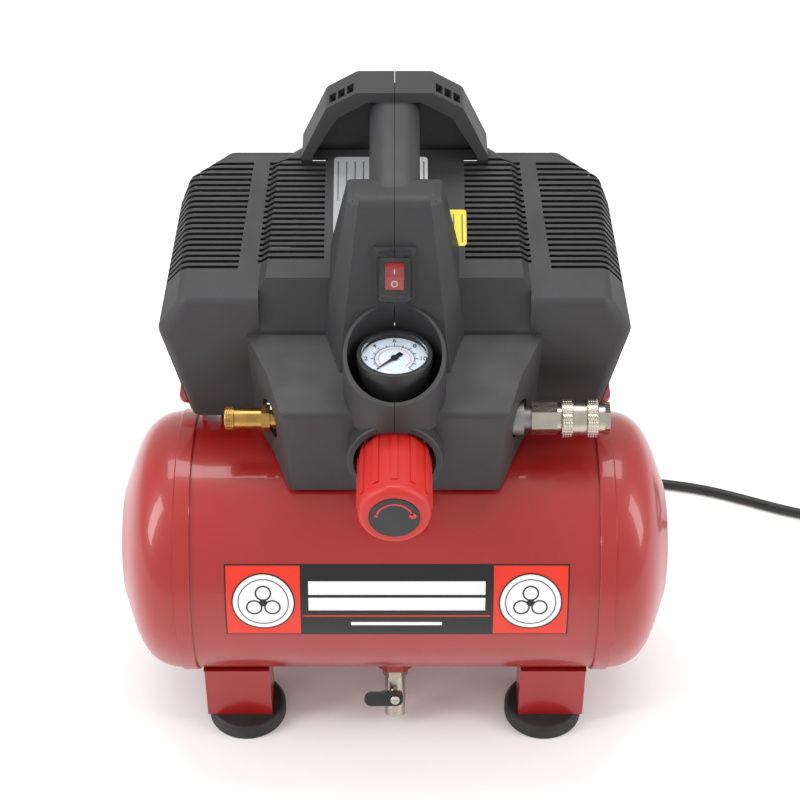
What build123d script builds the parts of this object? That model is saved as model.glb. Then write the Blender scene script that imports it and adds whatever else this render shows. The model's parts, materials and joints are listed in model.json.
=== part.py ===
"""Small oil-free air compressor with one horizontal tank, modelled in millimetres.

Frame: +X to the right of the front, +Y to the back, +Z up, the floor at Z = 0.
Most places below are given from the tank's axis, (0, AXIS_Y, AXIS_Z): x across, y to the back, z up.
"""
from build123d import *
import math
import os

# ---------------------------------------------------------------- driving dimensions
AXIS_Y = -10.0            # the tank's axis, from the frame's origin
AXIS_Z = 113.0            # the tank's axis above the floor

TANK_R = 80.0             # outside radius of the tank
TANK_WALL = 2.0
TANK_HALF = 167.5         # half of the tank's length over its ends
SEAM_X = 121.0            # where the barrel meets the lip of each end
LIP_END_X = 131.0
LIP_R = TANK_R + 1.6

PORT_Y = -13.0            # line through the regulator's two ports
PORT_Z = 110.0
KNOB_FRONT_Y = -98.0
KNOB_R = 20.6

GAUGE_Y = -24.0
GAUGE_Z = 168.0           # front of the gauge
GAUGE_R = 21.5

CRANK_Y = 66.0            # motor and crank axis
CRANK_Z = 126.0
CRANK_THROW = 7.0
PUMP_X = -35.0            # cylinder's axis

SHELL = 2.6               # wall of the plastic shroud
SADDLE_TOP = 88.0
VALVE_X = -98.0            # the check valve in the top of the tank
VALVE_Y = 38.0

FOOT_X = 99.0
FOOT_WIDTH = 41.0
FOOT_FRONT_Y = 55.0
PAD_X = 95.0
PAD_Y = 43.0
PAD_R = 24.5
PAD_TOP = 10.0 - AXIS_Z
FLOOR = -AXIS_Z

DRAIN_LEAN = 26.0         # degrees from straight down towards the front
CORD_D = 6.5
RUNNING = 0.04            # radial clearance of a running fit
GAP = 0.35                # gap between pieces that move past each other

os.makedirs("parts", exist_ok=True)


# ---------------------------------------------------------------- places and small helpers
def side_plane(x):
    """A plane across X whose sketch coordinates are (y, z) from the tank's axis."""
    return Plane(origin=(x, AXIS_Y, AXIS_Z), x_dir=(0, 1, 0), z_dir=(1, 0, 0))


def level_plane(z):
    """A level plane whose sketch coordinates are (x, y) from the tank's axis."""
    return Plane(origin=(0, AXIS_Y, AXIS_Z + z), x_dir=(1, 0, 0), z_dir=(0, 0, 1))


def front_plane(y):
    """An upright plane facing the front whose sketch coordinates are (x, z)."""
    return Plane(origin=(0, AXIS_Y + y, AXIS_Z), x_dir=(1, 0, 0), z_dir=(0, -1, 0))


def at(x, y, z):
    return (x, AXIS_Y + y, AXIS_Z + z)


def tilted_plane(x, y, z, slope):
    """A plane at (x, y, z) that faces up and forward: sketch y climbs to the back at `slope` degrees."""
    rise = math.radians(slope)
    normal = Vector(0, -math.sin(rise), math.cos(rise))
    return Plane(origin=at(x, y, z), x_dir=(1, 0, 0), z_dir=normal)


def save(part, name):
    part.label = name
    export_step(part, f"parts/{name}.step")


# ---------------------------------------------------------------- tank
with BuildPart() as tank_barrel:
    with BuildSketch(side_plane(-SEAM_X)):
        Circle(TANK_R)
        Circle(TANK_R - TANK_WALL, mode=Mode.SUBTRACT)
    extrude(amount=2 * SEAM_X)
    with BuildSketch(level_plane(0)):
        with Locations((0, PORT_Y)):
            Circle(5)
        with Locations((VALVE_X, VALVE_Y)):
            Circle(6)
    extrude(amount=TANK_R + 5, mode=Mode.SUBTRACT)
save(tank_barrel.part, "tank_barrel")


def build_end(side):
    """Dished end with a raised lip that laps over the barrel."""
    axis_line = Axis((0, AXIS_Y, AXIS_Z), (1, 0, 0))
    plane = Plane(origin=(0, AXIS_Y, AXIS_Z), x_dir=(side, 0, 0), z_dir=(0, -side, 0))
    with BuildPart() as end:
        with BuildSketch(plane):
            with BuildLine():
                Polyline((SEAM_X, TANK_R), (SEAM_X, LIP_R - 0.4), (SEAM_X + 0.6, LIP_R),
                         (LIP_END_X - 0.8, LIP_R), (LIP_END_X, TANK_R + 0.4))
                Spline((LIP_END_X, TANK_R + 0.4), (TANK_HALF - 13, TANK_R - 13), (TANK_HALF - 4, TANK_R - 35),
                       (TANK_HALF, 0), tangents=((1, -0.05), (0, -1)))
                Line((TANK_HALF, 0), (TANK_HALF - TANK_WALL, 0))
                Spline((TANK_HALF - TANK_WALL, 0), (TANK_HALF - 6, TANK_R - 36),
                       (TANK_HALF - 14.6, TANK_R - 14.6), (LIP_END_X, TANK_R - TANK_WALL),
                       tangents=((0, 1), (-1, 0.05)))
                Polyline((LIP_END_X, TANK_R - TANK_WALL), (SEAM_X, TANK_R - TANK_WALL), (SEAM_X, TANK_R))
            make_face()
        revolve(axis=axis_line)
    return end.part


save(build_end(-1), "tank_end_left")
save(build_end(1), "tank_end_right")


# ---------------------------------------------------------------- feet
def build_bracket(side):
    """Pressed steel bracket: a boxed leg at the front and at the back, joined by a strap under the tank."""
    sheet = 3.0
    leg_depth = 27.0
    with BuildPart() as bracket:
        for end in (-1, 1):
            leg_y = end * (FOOT_FRONT_Y - leg_depth / 2)
            with BuildSketch(level_plane(PAD_TOP)):
                with Locations((side * FOOT_X, leg_y)):
                    Rectangle(FOOT_WIDTH, leg_depth)
            extrude(amount=60)
            with BuildSketch(level_plane(PAD_TOP + sheet)):
                with Locations((side * FOOT_X, leg_y - end * sheet)):
                    Rectangle(FOOT_WIDTH - 2 * sheet, leg_depth)
            extrude(amount=60, mode=Mode.SUBTRACT)
        with BuildSketch(side_plane(side * FOOT_X - FOOT_WIDTH / 2)):
            Circle(TANK_R + sheet)
            Circle(TANK_R + 0.02, mode=Mode.SUBTRACT)
            with Locations((0, 60)):
                Rectangle(400, 236, mode=Mode.SUBTRACT)
        extrude(amount=FOOT_WIDTH)
        with BuildSketch(side_plane(side * FOOT_X - FOOT_WIDTH)):
            Circle(TANK_R + 0.02)
        extrude(amount=2 * FOOT_WIDTH, mode=Mode.SUBTRACT)
        with BuildSketch(level_plane(PAD_TOP)):
            with Locations(*[(side * PAD_X, end * PAD_Y) for end in (-1, 1)]):
                Circle(3.2)
        extrude(amount=sheet, mode=Mode.SUBTRACT)
    return bracket.part


save(build_bracket(-1), "foot_bracket_left")
save(build_bracket(1), "foot_bracket_right")


def build_pad(x, y):
    """Round rubber foot with a recess underneath for its screw."""
    with BuildPart() as pad:
        with BuildSketch(level_plane(FLOOR)):
            with Locations((x, y)):
                Circle(PAD_R)
        extrude(amount=PAD_TOP - FLOOR)
        fillet(pad.edges().group_by(Axis.Z)[-1], 3.0)
        fillet(pad.edges().group_by(Axis.Z)[0], 1.0)
        with BuildSketch(level_plane(FLOOR)):
            with Locations((x, y)):
                Circle(7.5)
        extrude(amount=5.0, mode=Mode.SUBTRACT)
        with BuildSketch(level_plane(FLOOR)):
            with Locations((x, y)):
                Circle(3.2)
        extrude(amount=PAD_TOP - FLOOR, mode=Mode.SUBTRACT)
    return pad.part


PAD_PLACES = {
    "rubber_foot_front_left": (-PAD_X, -PAD_Y),
    "rubber_foot_front_right": (PAD_X, -PAD_Y),
    "rubber_foot_rear_left": (-PAD_X, PAD_Y),
    "rubber_foot_rear_right": (PAD_X, PAD_Y),
}
for pad_name, (pad_x, pad_y) in PAD_PLACES.items():
    save(build_pad(pad_x, pad_y), pad_name)

with BuildPart() as foot_screws:
    places = list(PAD_PLACES.values())
    with BuildSketch(level_plane(FLOOR + 2.0)):
        with Locations(*places):
            Circle(5.5)
    extrude(amount=3.0)
    with BuildSketch(level_plane(FLOOR + 5.0)):
        with Locations(*places):
            Circle(3.0)
    extrude(amount=14.0)
    with BuildSketch(level_plane(PAD_TOP + 3.0)):
        with Locations(*places):
            RegularPolygon(5.5, 6)
    extrude(amount=4.5)
save(foot_screws.part, "foot_screws")


# ---------------------------------------------------------------- drain valve, leaning to the front
LEAN = math.radians(DRAIN_LEAN)
DRAIN_DIR = Vector(0, -math.sin(LEAN), -math.cos(LEAN))
STEM_DIR = Vector(0, -math.cos(LEAN), math.sin(LEAN))
DRAIN_PIVOT_R = 103.0
DRAIN_BODY_R = 6.4
DRAIN_BOSS_R = 86.5
DRAIN_END_R = 117.5
DRAIN_BALL_R = 4.4
DRAIN_STEM_R = 2.0
DRAIN_PORT_R = 2.4         # bore through the ball
DRAIN_NECK = 9.0          # height of the stem's neck over the valve's axis


def drain_plane(radius):
    """A plane across the drain's axis at `radius` from the tank's axis."""
    return Plane(origin=Vector(at(0, 0, 0)) + DRAIN_DIR * radius, x_dir=(1, 0, 0), z_dir=DRAIN_DIR)


def stem_plane(offset):
    """A plane across the lever's pivot: sketch x is +X, offset towards the front."""
    origin = Vector(at(0, 0, 0)) + DRAIN_DIR * DRAIN_PIVOT_R + STEM_DIR * offset
    return Plane(origin=origin, x_dir=(1, 0, 0), z_dir=STEM_DIR)


with BuildPart() as drain_boss:
    with BuildSketch(drain_plane(TANK_R - 0.8)):
        RegularPolygon(9.2, 6, major_radius=False)
        Circle(4.0, mode=Mode.SUBTRACT)
    extrude(amount=DRAIN_BOSS_R - TANK_R + 0.8)
    with BuildSketch(side_plane(-20)):
        Circle(TANK_R + 0.02)
    extrude(amount=40, mode=Mode.SUBTRACT)
save(drain_boss.part, "drain_boss")

with BuildPart() as drain_valve_body:
    with BuildSketch(drain_plane(DRAIN_BOSS_R)):
        RegularPolygon(7.0, 6, major_radius=False)
    extrude(amount=4.5)
    with BuildSketch(drain_plane(DRAIN_BOSS_R + 4.5)):
        Circle(DRAIN_BODY_R)
    extrude(amount=DRAIN_END_R - DRAIN_BOSS_R - 4.5)
    with BuildSketch(stem_plane(0)):
        Circle(4.6)
    extrude(amount=DRAIN_NECK)
    with BuildSketch(drain_plane(DRAIN_BOSS_R)):
        Circle(3.0)
    extrude(amount=DRAIN_END_R - DRAIN_BOSS_R, mode=Mode.SUBTRACT)
    with Locations(drain_plane(DRAIN_PIVOT_R).origin):
        Sphere(DRAIN_BALL_R + GAP / 4, mode=Mode.SUBTRACT)
    with BuildSketch(stem_plane(0)):
        Circle(DRAIN_STEM_R + RUNNING)
    extrude(amount=DRAIN_NECK, mode=Mode.SUBTRACT)
save(drain_valve_body.part, "drain_valve_body")

with BuildPart() as drain_ball_stem:
    with BuildSketch(stem_plane(0)):
        Circle(DRAIN_BALL_R)
        with Locations((0, DRAIN_PORT_R - 10)):
            Rectangle(20, 20, mode=Mode.SUBTRACT)
    revolve(axis=Axis(tuple(stem_plane(0).origin), (1, 0, 0)))
    with BuildSketch(stem_plane(DRAIN_PORT_R + 0.4)):
        Circle(DRAIN_STEM_R)
    extrude(amount=DRAIN_NECK + 2.0 - DRAIN_PORT_R - 0.4)
save(drain_ball_stem.part, "drain_ball_stem")

with BuildPart() as drain_lever:
    with BuildSketch(stem_plane(DRAIN_NECK + GAP)):
        SlotCenterPoint((-3.5, 0), (0.5, 0), 9.0)
        Circle(DRAIN_STEM_R, mode=Mode.SUBTRACT)
    extrude(amount=1.65)
    with BuildSketch(stem_plane(DRAIN_NECK + 2.0)):
        SlotCenterPoint((-7.25, 0), (0.5, 0), 9.0)
        Circle(1.5, mode=Mode.SUBTRACT)
    extrude(amount=2.4)
save(drain_lever.part, "drain_lever")

with BuildPart() as drain_lever_screw:
    with BuildSketch(stem_plane(DRAIN_NECK + 2.0)):
        Circle(1.5)
    extrude(amount=2.4)
    with BuildSketch(stem_plane(DRAIN_NECK + 4.4)):
        Circle(3.0)
    extrude(amount=1.8)
    fillet(drain_lever_screw.faces().sort_by(Axis(at(0, 0, 0), tuple(STEM_DIR)))[-1].edges(), 0.9)
    with BuildSketch(stem_plane(DRAIN_NECK + 5.3)):
        Rectangle(4.0, 0.7)
        Rectangle(0.7, 4.0)
    extrude(amount=2.0, mode=Mode.SUBTRACT)
save(drain_lever_screw.part, "drain_lever_screw")


# ---------------------------------------------------------------- saddle that carries the motor and pump
SADDLE_T = 2.5
SADDLE_HALF = 132.0
SADDLE_FRONT = 30.0
SADDLE_BACK = 104.0
MOTOR_SCREWS = [(-62, 40), (-62, 92), (-18, 92), (-18, 40), (20, 54), (20, 78), (60, 54), (60, 78)]

with BuildPart() as motor_saddle:
    with BuildSketch(level_plane(SADDLE_TOP - SADDLE_T)):
        with Locations((0, (SADDLE_FRONT + SADDLE_BACK) / 2)):
            RectangleRounded(2 * SADDLE_HALF, SADDLE_BACK - SADDLE_FRONT, 6)
    extrude(amount=SADDLE_T)
    for rib_x in (-118.0, -50.0, 47.0, 115.0):
        with BuildSketch(side_plane(rib_x)):
            with BuildLine():
                Polyline((SADDLE_FRONT + 2, SADDLE_TOP - 1), (SADDLE_BACK - 4, SADDLE_TOP - 1),
                         (70, 30), (20, 70), (SADDLE_FRONT + 2, SADDLE_TOP - 1))
            make_face()
            Circle(TANK_R + 0.02, mode=Mode.SUBTRACT)
        extrude(amount=3.0)
    with BuildSketch(level_plane(SADDLE_TOP - 10)):
        with Locations((VALVE_X, VALVE_Y)):
            Circle(11.5)
    extrude(amount=20, mode=Mode.SUBTRACT)
    with BuildSketch(level_plane(SADDLE_TOP - 10)):
        with Locations(*MOTOR_SCREWS):
            Circle(2.1)
    extrude(amount=20, mode=Mode.SUBTRACT)
save(motor_saddle.part, "motor_saddle")

with BuildPart() as saddle_screws:
    with BuildSketch(level_plane(SADDLE_TOP - SADDLE_T - 3.0)):
        with Locations(*MOTOR_SCREWS):
            RegularPolygon(3.9, 6)
    extrude(amount=3.0)
    with BuildSketch(level_plane(SADDLE_TOP - SADDLE_T)):
        with Locations(*MOTOR_SCREWS):
            Circle(2.1)
    extrude(amount=5.0)
save(saddle_screws.part, "saddle_screws")


# ---------------------------------------------------------------- motor and pump, axis along X
def crank_plane(x):
    """A plane across the crank's axis, origin on that axis: sketch x is to the back, sketch y is up."""
    return Plane(origin=at(x, CRANK_Y, CRANK_Z), x_dir=(0, 1, 0), z_dir=(1, 0, 0))


STATOR_X = 12.0
STATOR_LENGTH = 56.0
STATOR_R = 36.0
ROTOR_R = 20.6
SHAFT_R = 5.0
BEARING_R = 11.0
BEARING_W = 7.0
CRANKCASE_X0 = -70.0
CRANKCASE_X1 = -10.0
CRANKCASE_TOP = 144.0
CYLINDER_BORE = 21.0
CYLINDER_OUT = 26.0
HEAD_SIZE = 54.0
PLATE_Z = 167.0
BRACKET_X = 76.0

with BuildPart() as motor_stator:
    with BuildSketch(crank_plane(STATOR_X)):
        Circle(STATOR_R)
        Circle(ROTOR_R + 0.6, mode=Mode.SUBTRACT)
    extrude(amount=STATOR_LENGTH)
    with BuildSketch(level_plane(SADDLE_TOP)):
        with Locations((40, CRANK_Y)):
            Rectangle(50, 34)
    extrude(amount=6.0)
    with BuildSketch(level_plane(SADDLE_TOP)):
        with Locations((20, 54), (20, 78), (60, 54), (60, 78)):
            Circle(2.1)
    extrude(amount=3.0, mode=Mode.SUBTRACT)
save(motor_stator.part, "motor_stator")

with BuildPart() as motor_end_bracket:
    with BuildSketch(crank_plane(STATOR_X + STATOR_LENGTH)):
        Circle(STATOR_R)
        Circle(STATOR_R - 3, mode=Mode.SUBTRACT)
    extrude(amount=BRACKET_X - STATOR_X - STATOR_LENGTH)
    with BuildSketch(crank_plane(BRACKET_X)):
        Circle(STATOR_R)
        Circle(BEARING_R, mode=Mode.SUBTRACT)
        with PolarLocations(23.5, 6):
            Circle(5.5, mode=Mode.SUBTRACT)
    extrude(amount=BEARING_W)
save(motor_end_bracket.part, "motor_end_bracket")

with BuildPart() as crankcase:
    case_mid = (CRANKCASE_X0 + CRANKCASE_X1) / 2
    case_length = CRANKCASE_X1 - CRANKCASE_X0
    with BuildSketch(level_plane(SADDLE_TOP)):
        with Locations((case_mid, CRANK_Y)):
            RectangleRounded(case_length, 64, 5)
    extrude(amount=CRANKCASE_TOP - SADDLE_TOP)
    with BuildSketch(level_plane(SADDLE_TOP + 4)):
        with Locations((case_mid - 4, CRANK_Y)):
            Rectangle(case_length - 6, 56)
    extrude(amount=CRANKCASE_TOP - SADDLE_TOP - 8, mode=Mode.SUBTRACT)
    with BuildSketch(level_plane(CRANKCASE_TOP - 6)):
        with Locations((PUMP_X, CRANK_Y)):
            Circle(CYLINDER_BORE + 1)
    extrude(amount=10, mode=Mode.SUBTRACT)
    with BuildSketch(crank_plane(CRANKCASE_X1 - 10)):
        Circle(BEARING_R)
    extrude(amount=20, mode=Mode.SUBTRACT)
    with BuildSketch(level_plane(SADDLE_TOP)):
        with Locations((-62, 40), (-62, 92), (-18, 92), (-18, 40)):
            Circle(2.1)
    extrude(amount=3.0, mode=Mode.SUBTRACT)
save(crankcase.part, "crankcase")

with BuildPart() as motor_bearings:
    for bearing_x in (CRANKCASE_X1 - BEARING_W, BRACKET_X):
        with BuildSketch(crank_plane(bearing_x)):
            Circle(BEARING_R)
            Circle(SHAFT_R + RUNNING, mode=Mode.SUBTRACT)
        extrude(amount=BEARING_W)
save(motor_bearings.part, "motor_bearings")

with BuildPart() as rotor_shaft:
    with BuildSketch(crank_plane(-24.0)):
        Circle(SHAFT_R)
    extrude(amount=130.0)
    with BuildSketch(crank_plane(STATOR_X + 3)):
        Circle(ROTOR_R)
    extrude(amount=STATOR_LENGTH - 6)
save(rotor_shaft.part, "rotor_shaft")

with BuildPart() as cooling_fan:
    with BuildSketch(crank_plane(90.0)):
        Circle(11)
        Circle(SHAFT_R, mode=Mode.SUBTRACT)
    extrude(amount=12.0)
    with BuildSketch(crank_plane(90.0)):
        with PolarLocations(21.0, 8):
            Rectangle(24, 2.2)
        Circle(9, mode=Mode.SUBTRACT)
    extrude(amount=12.0)
    with BuildSketch(crank_plane(88.0)):
        Circle(32)
        Circle(SHAFT_R, mode=Mode.SUBTRACT)
    extrude(amount=2.0)
save(cooling_fan.part, "cooling_fan")

with BuildPart() as crank_disc:
    with BuildSketch(crank_plane(-30.0)):
        Circle(15)
    extrude(amount=6.0)
    with BuildSketch(crank_plane(-34.0)):
        with Locations((0, CRANK_THROW)):
            Circle(4.0)
    extrude(amount=4.0)
save(crank_disc.part, "crank_disc")

ROD_X = -39.5
PISTON_TOP = 165.5
with BuildPart() as piston_rod:
    with BuildSketch(level_plane(PISTON_TOP - 7)):
        with Locations((PUMP_X, CRANK_Y)):
            Circle(CYLINDER_BORE - 0.5)
    extrude(amount=7)
    with BuildSketch(crank_plane(ROD_X)):
        with Locations((0, CRANK_THROW)):
            Circle(8.5)
            Circle(4.2, mode=Mode.SUBTRACT)
        with Locations((0, CRANK_THROW + 17)):
            Rectangle(8, 20)
    extrude(amount=5.0)
    with BuildSketch(level_plane(PISTON_TOP - 3.2)):
        with Locations((PUMP_X, CRANK_Y)):
            Circle(CYLINDER_BORE)
            Circle(CYLINDER_BORE - 1.5, mode=Mode.SUBTRACT)
    extrude(amount=1.6, mode=Mode.SUBTRACT)
save(piston_rod.part, "piston_rod")

with BuildPart() as piston_seal:
    with BuildSketch(level_plane(PISTON_TOP - 3.2)):
        with Locations((PUMP_X, CRANK_Y)):
            Circle(CYLINDER_BORE - RUNNING)
            Circle(CYLINDER_BORE - 1.5, mode=Mode.SUBTRACT)
    extrude(amount=1.6)
save(piston_seal.part, "piston_seal")

with BuildPart() as cylinder:
    with BuildSketch(level_plane(CRANKCASE_TOP)):
        with Locations((PUMP_X, CRANK_Y)):
            Circle(CYLINDER_OUT)
            Circle(CYLINDER_BORE, mode=Mode.SUBTRACT)
    extrude(amount=PLATE_Z - CRANKCASE_TOP)
    for fin in range(4):
        with BuildSketch(level_plane(CRANKCASE_TOP + 3 + fin * 5)):
            with Locations((PUMP_X, CRANK_Y)):
                RectangleRounded(HEAD_SIZE, HEAD_SIZE, 4)
                Circle(CYLINDER_BORE, mode=Mode.SUBTRACT)
        extrude(amount=1.8)
save(cylinder.part, "cylinder")

with BuildPart() as valve_plate:
    with BuildSketch(level_plane(PLATE_Z)):
        with Locations((PUMP_X, CRANK_Y)):
            RectangleRounded(HEAD_SIZE, HEAD_SIZE, 4)
        with Locations((PUMP_X - 9, CRANK_Y), (PUMP_X + 9, CRANK_Y)):
            Circle(3, mode=Mode.SUBTRACT)
    extrude(amount=3.0)
save(valve_plate.part, "valve_plate")

HEAD_TOP = 182.0
with BuildPart() as cylinder_head:
    with BuildSketch(level_plane(PLATE_Z + 3)):
        with Locations((PUMP_X, CRANK_Y)):
            RectangleRounded(HEAD_SIZE, HEAD_SIZE, 4)
    extrude(amount=HEAD_TOP - PLATE_Z - 5)
    with BuildSketch(level_plane(PLATE_Z + 3)):
        with Locations((PUMP_X - 12, CRANK_Y), (PUMP_X + 12, CRANK_Y)):
            RectangleRounded(19, 38, 3)
    extrude(amount=7, mode=Mode.SUBTRACT)
    with BuildSketch(level_plane(HEAD_TOP - 2)):
        with GridLocations(0, 6.5, 1, 8):
            with Locations((PUMP_X, CRANK_Y)):
                Rectangle(HEAD_SIZE - 8, 1.8)
    extrude(amount=3.0)
save(cylinder_head.part, "cylinder_head")

with BuildPart() as intake_filter:
    with BuildSketch(side_plane(PUMP_X + HEAD_SIZE / 2)):
        with Locations((CRANK_Y, 175.5)):
            Circle(3.5)
    extrude(amount=4)
    with BuildSketch(side_plane(PUMP_X + HEAD_SIZE / 2 + 4)):
        with Locations((CRANK_Y, 175.5)):
            Circle(8.5)
    extrude(amount=14)
save(intake_filter.part, "intake_filter")

with BuildPart() as check_valve:
    with BuildSketch(level_plane(60)):
        with Locations((VALVE_X, VALVE_Y)):
            Circle(9.5)
    extrude(amount=26)
    with BuildSketch(side_plane(VALVE_X - 20)):
        Circle(TANK_R + 0.02)
    extrude(amount=40, mode=Mode.SUBTRACT)
    with BuildSketch(level_plane(86)):
        with Locations((VALVE_X, VALVE_Y)):
            RegularPolygon(9.0, 6)
    extrude(amount=12)
    with BuildSketch(level_plane(98)):
        with Locations((VALVE_X, VALVE_Y)):
            Circle(6)
    extrude(amount=8)
save(check_valve.part, "check_valve")

PIPE_R = 4.0
PIPE_Z = 175.5
with BuildPart() as delivery_pipe:
    with BuildLine():
        pipe_path = FilletPolyline(at(PUMP_X - HEAD_SIZE / 2, CRANK_Y, PIPE_Z), at(VALVE_X, CRANK_Y, PIPE_Z),
                                   at(VALVE_X, CRANK_Y, 142), at(VALVE_X, VALVE_Y, 132),
                                   at(VALVE_X, VALVE_Y, 106), radius=9)
    with BuildSketch(Plane(origin=pipe_path @ 0, z_dir=pipe_path % 0)):
        Circle(PIPE_R)
        Circle(PIPE_R - 1, mode=Mode.SUBTRACT)
    sweep()
save(delivery_pipe.part, "delivery_pipe")

with BuildPart() as pressure_switch:
    with BuildSketch(level_plane(94)):
        with Locations((-46, 9)):
            RectangleRounded(32, 26, 3)
    extrude(amount=30)
save(pressure_switch.part, "pressure_switch")

# ---------------------------------------------------------------- shroud: a shell in two halves
PANEL_FRONT = (15.0, 173.0)      # the sloping top panel's front edge, (y, z)
PANEL_BACK = (112.0, 221.0)      # and its back edge
PANEL_SLOPE = math.degrees(math.atan2(PANEL_BACK[1] - PANEL_FRONT[1], PANEL_BACK[0] - PANEL_FRONT[0]))
SHROUD_BOTTOM = SADDLE_TOP + 0.5
HOOD_ROUNDING = 7.0
PLATEAU = 5.0                    # the middle of the panel stands this much proud
ROOF_FRONT = (-44.0, 136.0)      # front edge of the apron's roof
ROOF_SLOPE = 14.0
APRON_BOTTOM = 75.5
SWITCH_AT = (0.0, 7.3, 200.5)
SWITCH_SLOPE = 77.6
COLLAR_OUT = 29.5                # collar round the gauge
COLLAR_IN = 27.0
KNOB_COLLAR_OUT = 27.6
KNOB_COLLAR_IN = 23.8
KNOB_COLLAR_Y = -52.0
GRIP_FROM = (26.0, 229.5)        # the grip's centre line, (y, z)
GRIP_TO = (112.0, 253.5)
GRIP_WIDE = 29.0
GRIP_HIGH = 26.0
ARCH_BACK = 119.0
ARCH_FRONT = 92.0
ARCH_WALL = 106.0                # front of the wall behind the hand gap
ARCH_OUTLINE = ((56, 205), (55, 224), (40, 256.5), (22, 267))
SEAM = 0.15                      # half of the parting line between the halves
VENT_WIDTH = 1.8
VENT_COUNT = 20
VENT_BACK_Y = 98.5
VENT_FRONT_Y = 36.5
FITTING_HOLE_R = 11.5            # holes in the apron's sides for the two ports
CORD_X = 92.0
CORD_Z = 104.0
GLAND_R = 7.0


def panel_z(y):
    """Height of the sloping top panel at y."""
    return PANEL_FRONT[1] + (y - PANEL_FRONT[0]) * math.tan(math.radians(PANEL_SLOPE))


def mirrored_outline(half):
    """Closed outline from the right half's points, listed from the bottom up."""
    right = [(x, z) for x, z in half]
    left = [(-x, z) for x, z in reversed(half)]
    return right + left + right[:1]


def outline_face(plane, points):
    with BuildSketch(plane) as outline:
        with BuildLine():
            Polyline(*points)
        make_face()
    return outline.sketch.face()


def hood_section(y, bottom, wide, top, inset, below):
    """Six-sided section of the hood at y; each corner is a half width and a height."""
    drop = inset * 1.15
    half = [(bottom[0] - drop, bottom[1] - below), (wide[0] - drop, wide[1]), (top[0] - inset * 0.6, top[1] - drop)]
    return outline_face(front_plane(y), mirrored_outline(half))


def build_hood(inset=0.0, below=0.0):
    """The wide hood over the motor and pump; `inset` makes the solid of its inside."""
    front = hood_section(PANEL_FRONT[0] + inset, (124, SHROUD_BOTTOM), (140.5, 148), (124.5, 173), inset, below)
    rear = hood_section(95.0, (119, SHROUD_BOTTOM), (128.5, 190), (120.5, 212.5), inset, below)
    back = hood_section(PANEL_BACK[0] - inset, (100, SHROUD_BOTTOM), (104, 200), (92, 221), inset, below)
    with BuildPart() as hood:
        loft([front, rear], ruled=True)
        loft([rear, back], ruled=True)
        if inset == 0:
            fillet(hood.edges().filter_by(lambda edge: edge.center().Z > AXIS_Z + SHROUD_BOTTOM + 5), HOOD_ROUNDING)
    return hood.part


def build_plateau(inset=0.0):
    """Raised middle of the top panel, chamfered all round."""
    with BuildPart() as plateau:
        with BuildSketch(tilted_plane(0, PANEL_FRONT[0], PANEL_FRONT[1], PANEL_SLOPE)):
            half = [(79.5, 6), (73, 92), (56, 104)]
            with BuildLine():
                Polyline(*mirrored_outline([(x - inset, run) for x, run in half]))
            make_face()
        extrude(amount=PLATEAU - inset, taper=40)
        with BuildSketch(tilted_plane(0, PANEL_FRONT[0], PANEL_FRONT[1], PANEL_SLOPE)):
            with BuildLine():
                Polyline(*mirrored_outline([(x - inset, run) for x, run in half]))
            make_face()
        extrude(amount=-6 - inset)
    return plateau.part


def build_scoop(inset=0.0):
    """Hollow in front of the panel, each side of the spine."""
    with BuildPart() as scoop:
        for side in (-1, 1):
            with BuildSketch(side_plane(side * 58)):
                with BuildLine():
                    Polyline((4, 146), (14.0, 150), (27, 188), (27, 200), (4, 200), (4, 146))
                make_face()
                if inset:
                    offset(amount=inset, kind=Kind.INTERSECTION)
            extrude(amount=21 + inset, both=True)
    return scoop.part


def build_apron(inset=0.0, below=0.0):
    """The block in front that holds the regulator, under a sloping roof."""
    low = APRON_BOTTOM - below
    bottom = [(62 - inset, -37.5 + inset), (71 - inset, -15), (84 - inset, 16), (84.5 - inset, 22)]
    top = [(66 - inset, -44.5 + inset), (73.5 - inset, -15), (88 - inset, 16), (88.5 - inset, 22)]
    with BuildPart() as apron:
        loft([outline_face(level_plane(low), mirrored_outline(bottom)),
              outline_face(level_plane(165), mirrored_outline(top))], ruled=True)
        with BuildSketch(side_plane(-120)):
            with BuildLine():
                rise = math.tan(math.radians(ROOF_SLOPE))
                lift = -inset * 1.03
                Polyline((-80, ROOF_FRONT[1] - 36 * rise + lift), (80, ROOF_FRONT[1] + 124 * rise + lift),
                         (80, 300), (-80, 300), (-80, ROOF_FRONT[1] - 36 * rise + lift))
            make_face()
        extrude(amount=240, mode=Mode.SUBTRACT)
        if inset == 0:
            front_edges = apron.edges().filter_by(lambda edge: edge.center().Y < AXIS_Y - 36
                                                  and edge.center().Z > AXIS_Z + low + 5)
            fillet(front_edges, 4)
    return apron.part


def build_spine(inset=0.0):
    """Ridge from the apron's roof up to the hand grip, with the switch on its front."""
    sections = [
        (128 - inset, ((34, -19), (43, 13), (45, 46))),
        (181, ((27.5, 3), (37, 15), (40, 46))),
        (244 - inset, ((20, 16.8), (26, 22), (26, 42))),
    ]
    faces = []
    for height, half in sections:
        corners = [(x - inset, y + inset * (1.1 if y < 20 else -1.0)) for x, y in half]
        faces.append(outline_face(level_plane(height), mirrored_outline(corners)))
    with BuildPart() as spine:
        loft(faces[:2], ruled=True)
        loft(faces[1:], ruled=True)
        if inset == 0:
            fillet(spine.edges().filter_by(lambda edge: edge.center().Z > AXIS_Z + 243), 7)
    return spine.part


def grip_plane():
    """Plane across the grip at its front end, facing along the grip."""
    along = Vector(0, GRIP_TO[0] - GRIP_FROM[0], GRIP_TO[1] - GRIP_FROM[1])
    return Plane(origin=at(0, *GRIP_FROM), x_dir=(1, 0, 0), z_dir=along)


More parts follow.
